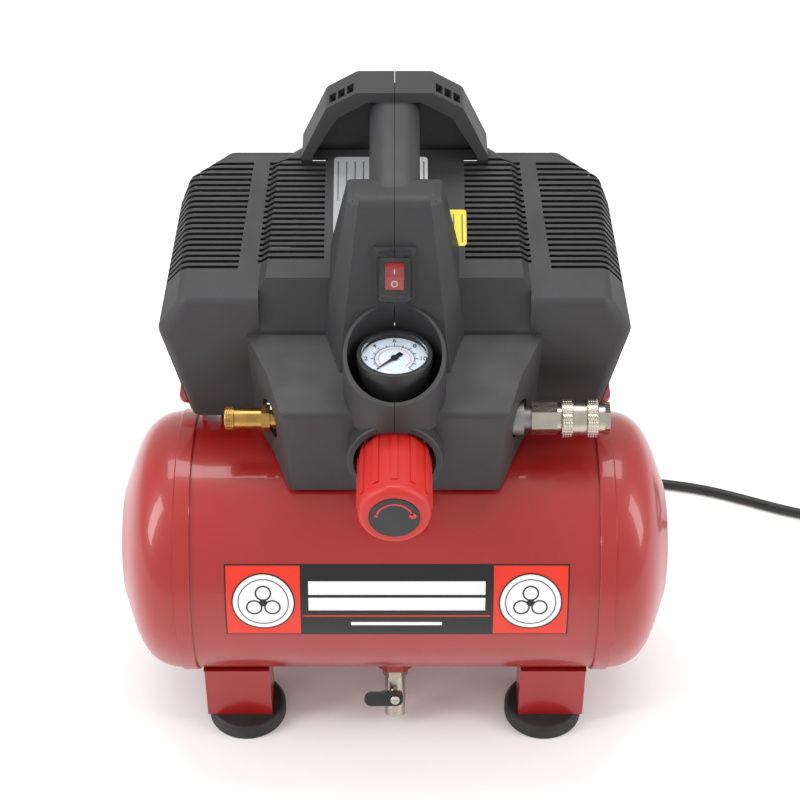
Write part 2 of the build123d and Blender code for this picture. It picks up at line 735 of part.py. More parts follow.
def build_grip(inset=0.0):
    with BuildPart() as grip:
        with BuildSketch(grip_plane()):
            RectangleRounded(GRIP_WIDE - 2 * inset, GRIP_HIGH - 2 * inset, 10.5 - inset)
        extrude(amount=math.hypot(GRIP_TO[0] - GRIP_FROM[0], GRIP_TO[1] - GRIP_FROM[1]))
    return grip.part


def arch_points(inset):
    return mirrored_outline([(x - inset, z - (inset if x < 50 else 0)) for x, z in ARCH_OUTLINE])


def build_arch():
    """Cowl behind the grip: a back wall with a rim that reaches forward over the hand gap."""
    with BuildPart() as arch:
        with BuildSketch(front_plane(ARCH_BACK)):
            with BuildLine():
                Polyline(*arch_points(0))
            make_face()
        extrude(amount=ARCH_BACK - ARCH_FRONT)
        fillet(arch.edges().filter_by(Axis.Y).filter_by(lambda edge: edge.center().Z > AXIS_Z + 230), 5)
        fillet(arch.edges().filter_by(lambda edge: edge.center().Z > AXIS_Z + 224
                                      and edge.center().Y > AXIS_Y + ARCH_BACK - 0.1), 3)
        with BuildSketch(front_plane(ARCH_WALL)):
            with BuildLine():
                Polyline(*arch_points(6.5))
            make_face()
        extrude(amount=40, mode=Mode.SUBTRACT)
    return arch.part


def build_arch_hollow():
    with BuildPart() as hollow:
        with BuildSketch(front_plane(ARCH_BACK - SHELL)):
            with BuildLine():
                Polyline(*arch_points(SHELL + 0.6))
            make_face()
        extrude(amount=ARCH_BACK - ARCH_WALL - 2 * SHELL)
    return hollow.part


def build_gauge_collar():
    """Upright collar round the gauge, cut on a slope."""
    with BuildPart() as collar:
        with BuildSketch(level_plane(129)):
            with Locations((0, GAUGE_Y)):
                Circle(COLLAR_OUT)
        extrude(amount=69)
        with BuildSketch(side_plane(-60)):
            with BuildLine():
                Polyline((-70, 144.5), (60, 209.5), (60, 260), (-70, 260), (-70, 144.5))
            make_face()
        extrude(amount=120, mode=Mode.SUBTRACT)
        fillet(collar.faces().sort_by(Axis.Z)[-1].edges(), 1.2)
    return collar.part


def build_knob_collar():
    with BuildPart() as collar:
        with BuildSketch(front_plane(-30)):
            with Locations((0, PORT_Z)):
                Circle(KNOB_COLLAR_OUT)
        extrude(amount=-30 - KNOB_COLLAR_Y)
        fillet(collar.faces().sort_by(Axis.Y)[0].edges(), 1.2)
    return collar.part


def cut_openings():
    """Bores for the gauge, the knob, the two ports, the switch and the cord."""
    with BuildPart() as cuts:
        with BuildSketch(level_plane(120)):
            with Locations((0, GAUGE_Y)):
                Circle(COLLAR_IN)
        extrude(amount=90)
        with BuildSketch(front_plane(-20)):
            with Locations((0, PORT_Z)):
                Circle(KNOB_COLLAR_IN)
        extrude(amount=60)
        with BuildSketch(side_plane(-100)):
            with Locations((PORT_Y, PORT_Z)):
                Circle(FITTING_HOLE_R)
        extrude(amount=200)
        with BuildSketch(tilted_plane(*SWITCH_AT, SWITCH_SLOPE)):
            Rectangle(13.4, 19.4)
        extrude(amount=20, both=True)
        with BuildSketch(front_plane(PANEL_BACK[0] + 5)):
            with Locations((CORD_X, CORD_Z)):
                Circle(GLAND_R)
        extrude(amount=14)
        with BuildSketch(side_plane(-130)):
            Circle(TANK_R + 3.5)
        extrude(amount=260)
    return cuts.part


def cut_vents():
    """Rows of slots, each cut square to the sloping panel; the outer rows run down the hood's sides."""
    pitch = (VENT_BACK_Y - VENT_FRONT_Y) / (VENT_COUNT - 1)
    with BuildPart() as vents:
        for row in range(VENT_COUNT):
            y = VENT_BACK_Y - row * pitch
            outer_from = 84.0 + row * 0.38
            inner_to = 74.5 + row * 0.3
            plane = tilted_plane(0, y, panel_z(y), PANEL_SLOPE)
            for side in (-1, 1):
                with BuildSketch(plane.offset(-22)):
                    with Locations((side * (outer_from + 150) / 2, 0)):
                        Rectangle(150 - outer_from, VENT_WIDTH)
                extrude(amount=30)
                if row < VENT_COUNT - 1:
                    with BuildSketch(plane.offset(-6)):
                        with Locations((side * (41 + inner_to) / 2, 0)):
                            Rectangle(inner_to - 41, VENT_WIDTH)
                    extrude(amount=15)
    return vents.part


def cut_arch_slots():
    """Three slots through the slanting rim of the cowl on each side."""
    (x0, z0), (x1, z1) = ARCH_OUTLINE[2], ARCH_OUTLINE[3]
    slant = math.degrees(math.atan2(z1 - z0, x0 - x1))
    with BuildPart() as slots:
        for side in (-1, 1):
            centre = at(side * (x0 + x1) / 2, (ARCH_FRONT + ARCH_WALL) / 2 + 1.5, (z0 + z1) / 2)
            tilt = math.radians(slant)
            plane = Plane(origin=centre, x_dir=(side * -math.cos(tilt), 0, math.sin(tilt)),
                          z_dir=(side * math.sin(tilt), 0, math.cos(tilt)))
            with BuildSketch(plane.offset(-5)):
                with GridLocations(6.0, 0, 3, 1):
                    Rectangle(4.6, 9.0)
            extrude(amount=12)
    return slots.part


with BuildPart() as shroud:
    add(build_hood())
    add(build_plateau())
    add(build_scoop(), mode=Mode.SUBTRACT)
    add(build_apron())
    add(build_spine())
    add(build_gauge_collar())
    add(build_knob_collar())
    with BuildSketch(tilted_plane(*SWITCH_AT, SWITCH_SLOPE).offset(-3)):
        RectangleRounded(24.5, 34.0, 1.5)
    extrude(amount=5.0)
    add(build_arch())
    add(build_grip())

with BuildPart() as shroud_inside:
    add(build_hood(SHELL, 12))
    add(build_plateau(SHELL))
    add(build_scoop(SHELL), mode=Mode.SUBTRACT)
    add(build_apron(SHELL, 20))
    add(build_spine(SHELL))
    add(build_arch_hollow())
    add(build_grip(SHELL))

with BuildPart() as shroud_shell:
    add(shroud.part)
    add(shroud_inside.part, mode=Mode.SUBTRACT)
    add(build_gauge_collar())
    add(cut_openings(), mode=Mode.SUBTRACT)
    add(cut_arch_slots(), mode=Mode.SUBTRACT)
    add(cut_vents(), mode=Mode.SUBTRACT)


def build_grip_web():
    """Upright rib inside the grip, on the left half, that closes the parting line."""
    with BuildPart() as web:
        add(build_grip(SHELL))
        with BuildSketch(side_plane(-1.0)):
            Rectangle(800, 800)
        extrude(amount=2.0, mode=Mode.INTERSECT)
    return web.part


def shroud_half(side):
    """The half of the shell on one side of the parting line."""
    with BuildPart() as half:
        add(shroud_shell.part)
        with BuildSketch(side_plane(side * SEAM)):
            Rectangle(800, 800)
        extrude(amount=-side * 300, mode=Mode.SUBTRACT)
        if side < 0:
            add(build_grip_web())
    return half.part


for shroud_side, shroud_name in ((-1, "shroud_left"), (1, "shroud_right")):
    shell_half = shroud_half(shroud_side)
    print(shroud_name, "solids", len(shell_half.solids()), "valid", shell_half.is_valid)
    save(shell_half, shroud_name)

# ---------------------------------------------------------------- springs
def build_spring(start, direction, length, radius, wire, turns):
    """Round-wire coil spring from `start` along `direction`."""
    with BuildPart() as spring:
        with BuildLine() as coil:
            Helix((length - wire) / turns, length - wire, radius, center=start, direction=direction)
        start_plane = Plane(origin=coil.line @ 0, z_dir=coil.line % 0)
        with BuildSketch(start_plane):
            Circle(wire / 2)
        sweep(is_frenet=True)
    return spring.part


# ---------------------------------------------------------------- regulator and its knob
BONNET_R = 16.8
BONNET_FRONT = -62.0
BODY_BACK = 6.0
CAVITY_R = 13.0
ARM_HALF = 69.0
ARM_R = 8.5
STEM_R = 4.0
KNOB_BACK = -49.0
KNOB_HOLLOW_END = -66.0

with BuildPart() as outlet_pipe:
    with BuildSketch(level_plane(70)):
        with Locations((0, PORT_Y)):
            Circle(8.0)
            Circle(4.0, mode=Mode.SUBTRACT)
    extrude(amount=PORT_Z - 18.0 - 70)
    with BuildSketch(side_plane(-20)):
        Circle(TANK_R + 0.02)
    extrude(amount=40, mode=Mode.SUBTRACT)
save(outlet_pipe.part, "outlet_pipe")

with BuildPart() as regulator_body:
    with BuildSketch(front_plane(BODY_BACK)):
        with Locations((0, PORT_Z)):
            Circle(18.0)
    extrude(amount=BODY_BACK + 34.0)
    with BuildSketch(front_plane(-34)):
        with Locations((0, PORT_Z)):
            Circle(BONNET_R)
    extrude(amount=-34.0 - BONNET_FRONT)
    with BuildSketch(side_plane(-ARM_HALF)):
        with Locations((PORT_Y, PORT_Z)):
            Circle(ARM_R)
    extrude(amount=2 * ARM_HALF)
    with BuildSketch(level_plane(PORT_Z)):
        with Locations((0, GAUGE_Y)):
            Circle(8.0)
    extrude(amount=24)
    with BuildSketch(front_plane(-36)):
        with Locations((0, PORT_Z)):
            Circle(CAVITY_R)
    extrude(amount=-36 - BONNET_FRONT - 4, mode=Mode.SUBTRACT)
    with BuildSketch(front_plane(-36)):
        with Locations((0, PORT_Z)):
            Circle(STEM_R + RUNNING)
    extrude(amount=40, mode=Mode.SUBTRACT)
    with BuildSketch(side_plane(-ARM_HALF)):
        with Locations((PORT_Y, PORT_Z)):
            Circle(5.0)
    extrude(amount=9, mode=Mode.SUBTRACT)
    with BuildSketch(side_plane(ARM_HALF - 9)):
        with Locations((PORT_Y, PORT_Z)):
            Circle(6.4)
    extrude(amount=9, mode=Mode.SUBTRACT)
save(regulator_body.part, "regulator_body")

with BuildPart() as regulator_diaphragm:
    with BuildSketch(front_plane(-36)):
        with Locations((0, PORT_Z)):
            Circle(CAVITY_R)
    extrude(amount=1.5)
    with BuildSketch(front_plane(-37.5)):
        with Locations((0, PORT_Z)):
            Circle(6)
    extrude(amount=1.5)
save(regulator_diaphragm.part, "regulator_diaphragm")

save(build_spring(at(0, -39.2, PORT_Z), (0, -1, 0), 8.6, 8.5, 2.0, 3), "regulator_spring")

with BuildPart() as regulator_stem:
    with BuildSketch(front_plane(-48.8)):
        with Locations((0, PORT_Z)):
            Circle(11)
    extrude(amount=2.5)
    with BuildSketch(front_plane(-48.8)):
        with Locations((0, PORT_Z)):
            Circle(STEM_R)
    extrude(amount=41)
save(regulator_stem.part, "regulator_stem")

with BuildPart() as regulator_knob:
    with BuildSketch(front_plane(KNOB_BACK)):
        with Locations((0, PORT_Z)):
            Circle(KNOB_R)
    extrude(amount=KNOB_BACK - KNOB_FRONT_Y)
    fillet(regulator_knob.faces().sort_by(Axis.Y)[0].edges(), 4.5)
    with BuildSketch(front_plane(KNOB_BACK)):
        with Locations((0, PORT_Z)):
            with PolarLocations(KNOB_R, 12):
                Rectangle(1.6, 3.4)
    extrude(amount=40)
    with BuildSketch(front_plane(KNOB_BACK)):
        with Locations((0, PORT_Z)):
            Circle(BONNET_R + 0.8)
    extrude(amount=KNOB_BACK - KNOB_HOLLOW_END, mode=Mode.SUBTRACT)
    with BuildSketch(front_plane(KNOB_BACK)):
        with Locations((0, PORT_Z)):
            Circle(STEM_R)
    extrude(amount=KNOB_BACK + 89.8, mode=Mode.SUBTRACT)
    with BuildSketch(front_plane(KNOB_FRONT_Y + 0.8)):
        with Locations((0, PORT_Z)):
            Circle(14.4)
    extrude(amount=2, mode=Mode.SUBTRACT)
save(regulator_knob.part, "regulator_knob")

with BuildPart() as knob_cap:
    with BuildSketch(front_plane(KNOB_FRONT_Y + 0.8)):
        with Locations((0, PORT_Z)):
            Circle(14.2)
    extrude(amount=1.2)
save(knob_cap.part, "knob_cap")


# ---------------------------------------------------------------- pressure gauge, face up
with BuildPart() as gauge_case:
    with BuildSketch(level_plane(GAUGE_Z - 26)):
        with Locations((0, GAUGE_Y)):
            Circle(GAUGE_R - 0.8)
    extrude(amount=20)
    with BuildSketch(level_plane(GAUGE_Z - 6)):
        with Locations((0, GAUGE_Y)):
            Circle(GAUGE_R)
    extrude(amount=6)
    fillet(gauge_case.faces().sort_by(Axis.Z)[-1].edges(), 1.0)
    with BuildSketch(level_plane(GAUGE_Z - 5.5)):
        with Locations((0, GAUGE_Y)):
            Circle(GAUGE_R - 2.6)
    extrude(amount=8, mode=Mode.SUBTRACT)
    with BuildSketch(level_plane(GAUGE_Z - 24)):
        with Locations((0, GAUGE_Y)):
            Circle(GAUGE_R - 2.6)
    extrude(amount=16, mode=Mode.SUBTRACT)
    with BuildSketch(level_plane(PORT_Z + 24)):
        with Locations((0, GAUGE_Y)):
            RegularPolygon(7.0, 6)
    extrude(amount=GAUGE_Z - 26 - PORT_Z - 24)
save(gauge_case.part, "gauge_case")

with BuildPart() as gauge_dial:
    with BuildSketch(level_plane(GAUGE_Z - 5.5)):
        with Locations((0, GAUGE_Y)):
            Circle(GAUGE_R - 2.65)
    extrude(amount=0.8)
    with BuildSketch(level_plane(GAUGE_Z - 4.7)):
        with Locations((0, GAUGE_Y)):
            Circle(0.8)
    extrude(amount=0.5)
save(gauge_dial.part, "gauge_dial")

with BuildPart() as gauge_needle:
    zero = math.radians(-135)
    with BuildSketch(Plane(origin=at(0, GAUGE_Y, GAUGE_Z - 4.0), x_dir=(math.cos(zero), math.sin(zero), 0))):
        with BuildLine():
            Polyline((14.5, 0), (0, 0.9), (-5.5, 1.6), (-5.5, -1.6), (0, -0.9), (14.5, 0))
        make_face()
        Circle(2.2)
    extrude(amount=0.5)
save(gauge_needle.part, "gauge_needle")

with BuildPart() as gauge_lens:
    with BuildSketch(level_plane(GAUGE_Z - 2.4)):
        with Locations((0, GAUGE_Y)):
            Circle(GAUGE_R - 2.65)
    extrude(amount=1.6)
save(gauge_lens.part, "gauge_lens")


# ---------------------------------------------------------------- safety valve on the left port
def left_turned(x, length, radius, hole=0.0, sides=0):
    """A turned or hexagonal length on the ports' line, from x towards the left."""
    with BuildPart() as piece:
        with BuildSketch(side_plane(x - length)):
            with Locations((PORT_Y, PORT_Z)):
                if sides:
                    RegularPolygon(radius, sides, major_radius=False)
                else:
                    Circle(radius)
                if hole:
                    Circle(hole, mode=Mode.SUBTRACT)
        extrude(amount=length)
    return piece.part


SAFETY_END = -93.8
with BuildPart() as safety_valve_body:
    add(left_turned(-60.0, 13.0, 5.0, 2.0))
    add(left_turned(-73.0, 5.0, 7.2, 2.0, sides=6))
    add(left_turned(-78.0, -SAFETY_END - 78.0, 6.2))
    add(left_turned(-77.0, 14.8, 4.6), mode=Mode.SUBTRACT)
    add(left_turned(-77.0, 20.0, 1.5 + RUNNING), mode=Mode.SUBTRACT)
save(safety_valve_body.part, "safety_valve_body")

with BuildPart() as safety_valve_cap:
    add(left_turned(SAFETY_END - 0.35, 5.6, 6.8))
    fillet(safety_valve_cap.faces().sort_by(Axis.X)[0].edges(), 0.8)
    add(left_turned(-78.0, -SAFETY_END - 77.0, 1.5))
    add(left_turned(-77.2, 1.6, 4.2))
    with BuildSketch(level_plane(PORT_Z)):
        with Locations((SAFETY_END - 3.2, PORT_Y)):
            Circle(0.9)
    extrude(amount=20, both=True, mode=Mode.SUBTRACT)
save(safety_valve_cap.part, "safety_valve_cap")
save(build_spring(at(-81.6, PORT_Y, PORT_Z), (-1, 0, 0), 9.7, 3.1, 0.9, 5), "safety_valve_spring")


# ---------------------------------------------------------------- quick coupler on the right port
def right_turned(x, length, radius, hole=0.0, sides=0):
    """A turned or hexagonal length on the ports' line, from x towards the right."""
    return left_turned(x + length, length, radius, hole, sides)


COUPLER_BORE = 5.4
COUPLER_BORE_DEPTH = 18.0
COUPLER_TUBE = 8.2
COUPLER_HEX = (80.0, 15.0)
SLEEVE = (97.2, 21.6)
COUPLER_END = 126.0
KNURL_R = 11.5

with BuildPart() as coupler_adapter:
    add(right_turned(60.0, 20.0, 6.4, 4.0))
    add(right_turned(69.0, 6.5, 9.8, 4.0))
    with BuildSketch(side_plane(69.0)):
        with Locations((PORT_Y, PORT_Z)):
            Circle(4.0)
    extrude(amount=6.5, mode=Mode.SUBTRACT)
save(coupler_adapter.part, "coupler_adapter")

with BuildPart() as coupler_body:
    add(right_turned(COUPLER_HEX[0], COUPLER_HEX[1], 8.6, sides=6))
    add(right_turned(95.0, 25.0, COUPLER_TUBE))
    add(right_turned(119.2, 3.6, 9.2))
    add(right_turned(122.8, COUPLER_END - 122.8, 8.4, sides=6))
    add(right_turned(COUPLER_HEX[0], 46, 3.4), mode=Mode.SUBTRACT)
    add(right_turned(COUPLER_END - COUPLER_BORE_DEPTH, COUPLER_BORE_DEPTH, COUPLER_BORE), mode=Mode.SUBTRACT)
save(coupler_body.part, "coupler_body")

with BuildPart() as coupler_sleeve:
    add(right_turned(SLEEVE[0], 7.0, KNURL_R))
    add(right_turned(SLEEVE[0] + 6.5, 9.0, KNURL_R - 1.3))
    add(right_turned(SLEEVE[0] + 14.8, SLEEVE[1] - 14.8, KNURL_R))
    chamfer(coupler_sleeve.edges().filter_by(GeomType.CIRCLE).filter_by(
        lambda edge: edge.radius > KNURL_R - 0.1), 0.5)
    add(right_turned(90.0, 35, COUPLER_TUBE + RUNNING), mode=Mode.SUBTRACT)
save(coupler_sleeve.part, "coupler_sleeve")


# ---------------------------------------------------------------- switch on the spine
SWITCH_PLANE = tilted_plane(*SWITCH_AT, SWITCH_SLOPE)
PLINTH_TOP = 2.0
ROCK_HALF = 11.0          # degrees each side of level

with BuildPart() as switch_housing:
    with BuildSketch(SWITCH_PLANE.offset(PLINTH_TOP)):
        RectangleRounded(15.0, 21.0, 1.0)
    extrude(amount=1.8)
    with BuildSketch(SWITCH_PLANE.offset(PLINTH_TOP - 18)):
        Rectangle(13.0, 19.0)
    extrude(amount=18)
    with BuildSketch(SWITCH_PLANE.offset(PLINTH_TOP - 12)):
        Rectangle(11.2, 17.4)
    extrude(amount=20, mode=Mode.SUBTRACT)
save(switch_housing.part, "switch_housing")

rocker_pivot = Vector(SWITCH_PLANE.origin) + SWITCH_PLANE.z_dir * (PLINTH_TOP - 1.0)
rocker_plane = Plane(origin=rocker_pivot, x_dir=(1, 0, 0),
                     z_dir=SWITCH_PLANE.z_dir.rotate(Axis.X, ROCK_HALF))
with BuildPart() as switch_rocker:
    with BuildSketch(Plane(origin=rocker_pivot, x_dir=rocker_plane.y_dir, z_dir=(1, 0, 0))):
        with BuildLine():
            Polyline((-8.0, 0), (-7.8, 4.3), (0, 2.9), (7.8, 4.3), (8.0, 0), (4.5, -4.5), (-4.5, -4.5), (-8.0, 0))
        make_face()
    extrude(amount=5.3, both=True)
save(switch_rocker.part, "switch_rocker")

with BuildPart() as switch_boot:
    with BuildSketch(SWITCH_PLANE.offset(PLINTH_TOP)):
        RectangleRounded(20.0, 29.6, 3.0)
    extrude(amount=8.6)
    fillet(switch_boot.faces().sort_by(Axis(SWITCH_PLANE.origin, SWITCH_PLANE.z_dir))[-1].edges(), 2.2)
    with BuildSketch(SWITCH_PLANE.offset(PLINTH_TOP)):
        RectangleRounded(17.2, 26.8, 2.0)
    extrude(amount=7.5, mode=Mode.SUBTRACT)
save(switch_boot.part, "switch_boot")


with BuildPart() as shroud_screws:
    screw_places = [(-84, 134), (84, 134), (-82, 198), (82, 198)]
    with BuildSketch(front_plane(PANEL_BACK[0] + 2.2)):
        with Locations(*screw_places):
            Circle(4.0)
    extrude(amount=2.2)
    with BuildSketch(front_plane(PANEL_BACK[0] + 2.4)):
        with Locations(*screw_places):
            RegularPolygon(1.6, 6)
    extrude(amount=1.2, mode=Mode.SUBTRACT)
save(shroud_screws.part, "shroud_screws")


# ---------------------------------------------------------------- mains cord
CORD_R = CORD_D / 2
GLAND_END_Y = PANEL_BACK[0] + 34.0
COIL_AT = (352.0, 174.3)         # x, y from the tank's axis
COIL_IN = 27.0
COIL_OUT = 46.0
COIL_HIGH = 20.0

with BuildPart() as cord_gland:
    with BuildSketch(front_plane(PANEL_BACK[0] + 2.5)):
        with Locations((CORD_X, CORD_Z)):
            Circle(10.0)
    extrude(amount=2.5)
    with BuildSketch(front_plane(PANEL_BACK[0] + 2.5)):
        with Locations((CORD_X, CORD_Z)):
            Circle(GLAND_R)
    extrude(amount=7.0)
    with BuildSketch(front_plane(PANEL_BACK[0] + 2.5)) as gland_root:
        with Locations((CORD_X, CORD_Z)):
            Circle(6.5)
    with BuildSketch(front_plane(GLAND_END_Y)) as gland_tip:
        with Locations((CORD_X, CORD_Z)):
            Circle(4.4)
    loft([gland_root.sketch.face(), gland_tip.sketch.face()])
save(cord_gland.part, "cord_gland")

# the route from the strain relief down to the floor, along it to the right, and to the coil
CORD_POINTS = [
    (92, 146, 104), (92, 164, 104), (94, 183, 94), (97, 195, 72), (101, 201, 42), (106, 201, 8),
    (113, 198, -26), (122, 193, -58), (134, 186, -85), (151, 180, -102), (174, 174, -109.7),
    (200, 170, -109.7), (226, 164, -109.7), (252, 154, -109.7), (278, 143, -109.7),
    (304, 135, -109.7), (328, 131, -109.7), (350, 131.5, -109.7),
]


def corner_radii(points):
    """As large an arc at each corner as its two runs allow."""
    radii = []
    for before, here, after in zip(points, points[1:], points[2:]):
        first = Vector(*here) - Vector(*before)
        second = Vector(*after) - Vector(*here)
        turn = math.radians(first.get_angle(second))
        radii.append(0.45 * min(first.length, second.length) / math.tan(turn / 2))
    return radii


cord_route = [at(*point) for point in CORD_POINTS]
cord_radii = corner_radii(cord_route)
with BuildPart() as power_cord:
    with BuildLine() as cord_line:
        FilletPolyline(*cord_route, radius=cord_radii)
    with BuildSketch(Plane(origin=cord_line.line @ 0, z_dir=cord_line.line % 0)):
        Circle(CORD_R)
    sweep()
save(power_cord.part, "power_cord")
print("cord radii", [round(radius) for radius in cord_radii])
cord_length = cord_line.wires()[0].length
print("cord length", round(cord_length, 1), "volume ratio",
      round(power_cord.part.volume / (math.pi * CORD_R ** 2 * cord_length), 4))

with BuildPart() as cord_coil:
    with BuildSketch(level_plane(FLOOR)):
        with Locations(COIL_AT):
            Circle(COIL_OUT)
            Circle(COIL_IN, mode=Mode.SUBTRACT)
    extrude(amount=COIL_HIGH)
    fillet(cord_coil.edges(), 3.0)
save(cord_coil.part, "cord_coil")

PLUG_HIGH = 18.5                 # the plug's axis above the floor
with BuildPart() as power_plug:
    plug_start = at(COIL_AT[0] + 42.0, COIL_AT[1] + 18.0, FLOOR + PLUG_HIGH)
    plug_plane = Plane(origin=plug_start, x_dir=(1, 0, 0), z_dir=(0, 1, 0))
    with BuildSketch(plug_plane) as plug_root:
        Circle(4.4)
    with BuildSketch(plug_plane.offset(26)) as plug_neck:
        Circle(9.0)
    loft([plug_root.sketch.face(), plug_neck.sketch.face()])
    with BuildSketch(plug_plane.offset(24)):
        Circle(18.4)
    extrude(amount=22)
    fillet(power_plug.edges().filter_by(GeomType.CIRCLE).filter_by(lambda edge: edge.radius > 18), 2.5)
    with BuildSketch(plug_plane.offset(46)):
        with Locations((-9.5, 0), (9.5, 0)):
            Circle(2.4)
    extrude(amount=19)
save(power_plug.part, "power_plug")
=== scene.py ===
import json
import math

import bmesh
import bpy
from mathutils import Matrix, Vector


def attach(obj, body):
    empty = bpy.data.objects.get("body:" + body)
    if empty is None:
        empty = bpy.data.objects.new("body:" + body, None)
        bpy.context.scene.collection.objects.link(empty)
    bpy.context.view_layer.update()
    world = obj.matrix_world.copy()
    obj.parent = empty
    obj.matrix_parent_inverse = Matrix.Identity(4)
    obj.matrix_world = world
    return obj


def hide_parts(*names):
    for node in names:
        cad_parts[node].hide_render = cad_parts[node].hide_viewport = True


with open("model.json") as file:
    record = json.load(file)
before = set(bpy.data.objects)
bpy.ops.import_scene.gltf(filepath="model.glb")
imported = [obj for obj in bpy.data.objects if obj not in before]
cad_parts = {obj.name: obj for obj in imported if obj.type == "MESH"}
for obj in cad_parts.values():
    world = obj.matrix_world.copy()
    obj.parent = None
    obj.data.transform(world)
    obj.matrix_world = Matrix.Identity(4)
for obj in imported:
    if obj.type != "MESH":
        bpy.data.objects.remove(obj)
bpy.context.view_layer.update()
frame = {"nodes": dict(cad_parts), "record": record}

# ---------------------------------------------------------------- shared values
# Places on the object are in millimetres from the tank's axis. at() turns them into the frame's metres.
MM = 0.001
AXIS = Vector((0.0, -10.0, 113.0)) * MM
TANK_R = 80.0


def at(x, y, z):
    """A place given from the tank's axis in millimetres, as metres in the frame."""
    return AXIS + Vector((x, y, z)) * MM


# ---------------------------------------------------------------- camera, light and floor, in metres
CAMERA_AT = (0.0031, -0.9157, 0.9860)
CAMERA_TILT = 50                             # degrees up from looking straight down
LENS = 90                                    # mm
SENSOR_WIDTH = 36                            # mm
WORLD_STRENGTH = 0.80
LIGHT_AIM = (0, 0, 0.2)
LIGHTS = (                                   # name, place, size, power
    ("key_left", (-1.4, -0.5, 1.2), (0.5, 1.3), 16),
    ("key_right", (1.5, -0.4, 1.1), (0.5, 1.3), 13),
    ("top", (0, 0.5, 1.8), (1.5, 0.6), 14),
)
FLOOR_SIZE = 6.0
FLOOR_GREY = 0.93
FLOOR_ROUGHNESS = 0.9


def build_camera():
    data = bpy.data.cameras.new("camera")
    data.lens = LENS
    data.sensor_width = SENSOR_WIDTH
    camera = bpy.data.objects.new("camera", data)
    camera.location = CAMERA_AT
    camera.rotation_euler = (math.radians(CAMERA_TILT), 0, 0)
    bpy.context.scene.collection.objects.link(camera)
    bpy.context.scene.camera = camera


def area_light(name, place, size, power):
    data = bpy.data.lights.new(name, "AREA")
    data.shape = "RECTANGLE"
    data.size, data.size_y = size
    data.energy = power
    light = bpy.data.objects.new(name, data)
    light.location = place
    light.rotation_euler = (Vector(LIGHT_AIM) - Vector(place)).to_track_quat("-Z", "Y").to_euler()
    bpy.context.scene.collection.objects.link(light)


def build_floor():
    mesh = bpy.data.meshes.new("floor")
    half = FLOOR_SIZE / 2
    corners = [(-half, -half, 0), (half, -half, 0), (half, half, 0), (-half, half, 0)]
    mesh.from_pydata(corners, [], [(0, 1, 2, 3)])
    floor = bpy.data.objects.new("floor", mesh)
    bpy.context.scene.collection.objects.link(floor)
    paint = bpy.data.materials.new("floor")
    paint.use_nodes = True
    shader = paint.node_tree.nodes["Principled BSDF"]
    shader.inputs["Base Color"].default_value = (FLOOR_GREY, FLOOR_GREY, FLOOR_GREY, 1)
    shader.inputs["Roughness"].default_value = FLOOR_ROUGHNESS
    mesh.materials.append(paint)


def build_stage():
    world = bpy.data.worlds.new("studio")
    world.use_nodes = True
    background = world.node_tree.nodes["Background"]
    background.inputs["Color"].default_value = (1.0, 1.0, 1.0, 1)
    background.inputs["Strength"].default_value = WORLD_STRENGTH
    bpy.context.scene.world = world
    bpy.context.scene.view_settings.view_transform = "Standard"
    for name, place, size, power in LIGHTS:
        area_light(name, place, size, power)
    build_floor()


# ---------------------------------------------------------------- materials
NOISE_LOW = 0.3                              # the part of the noise's range that colour and roughness use
NOISE_HIGH = 0.7


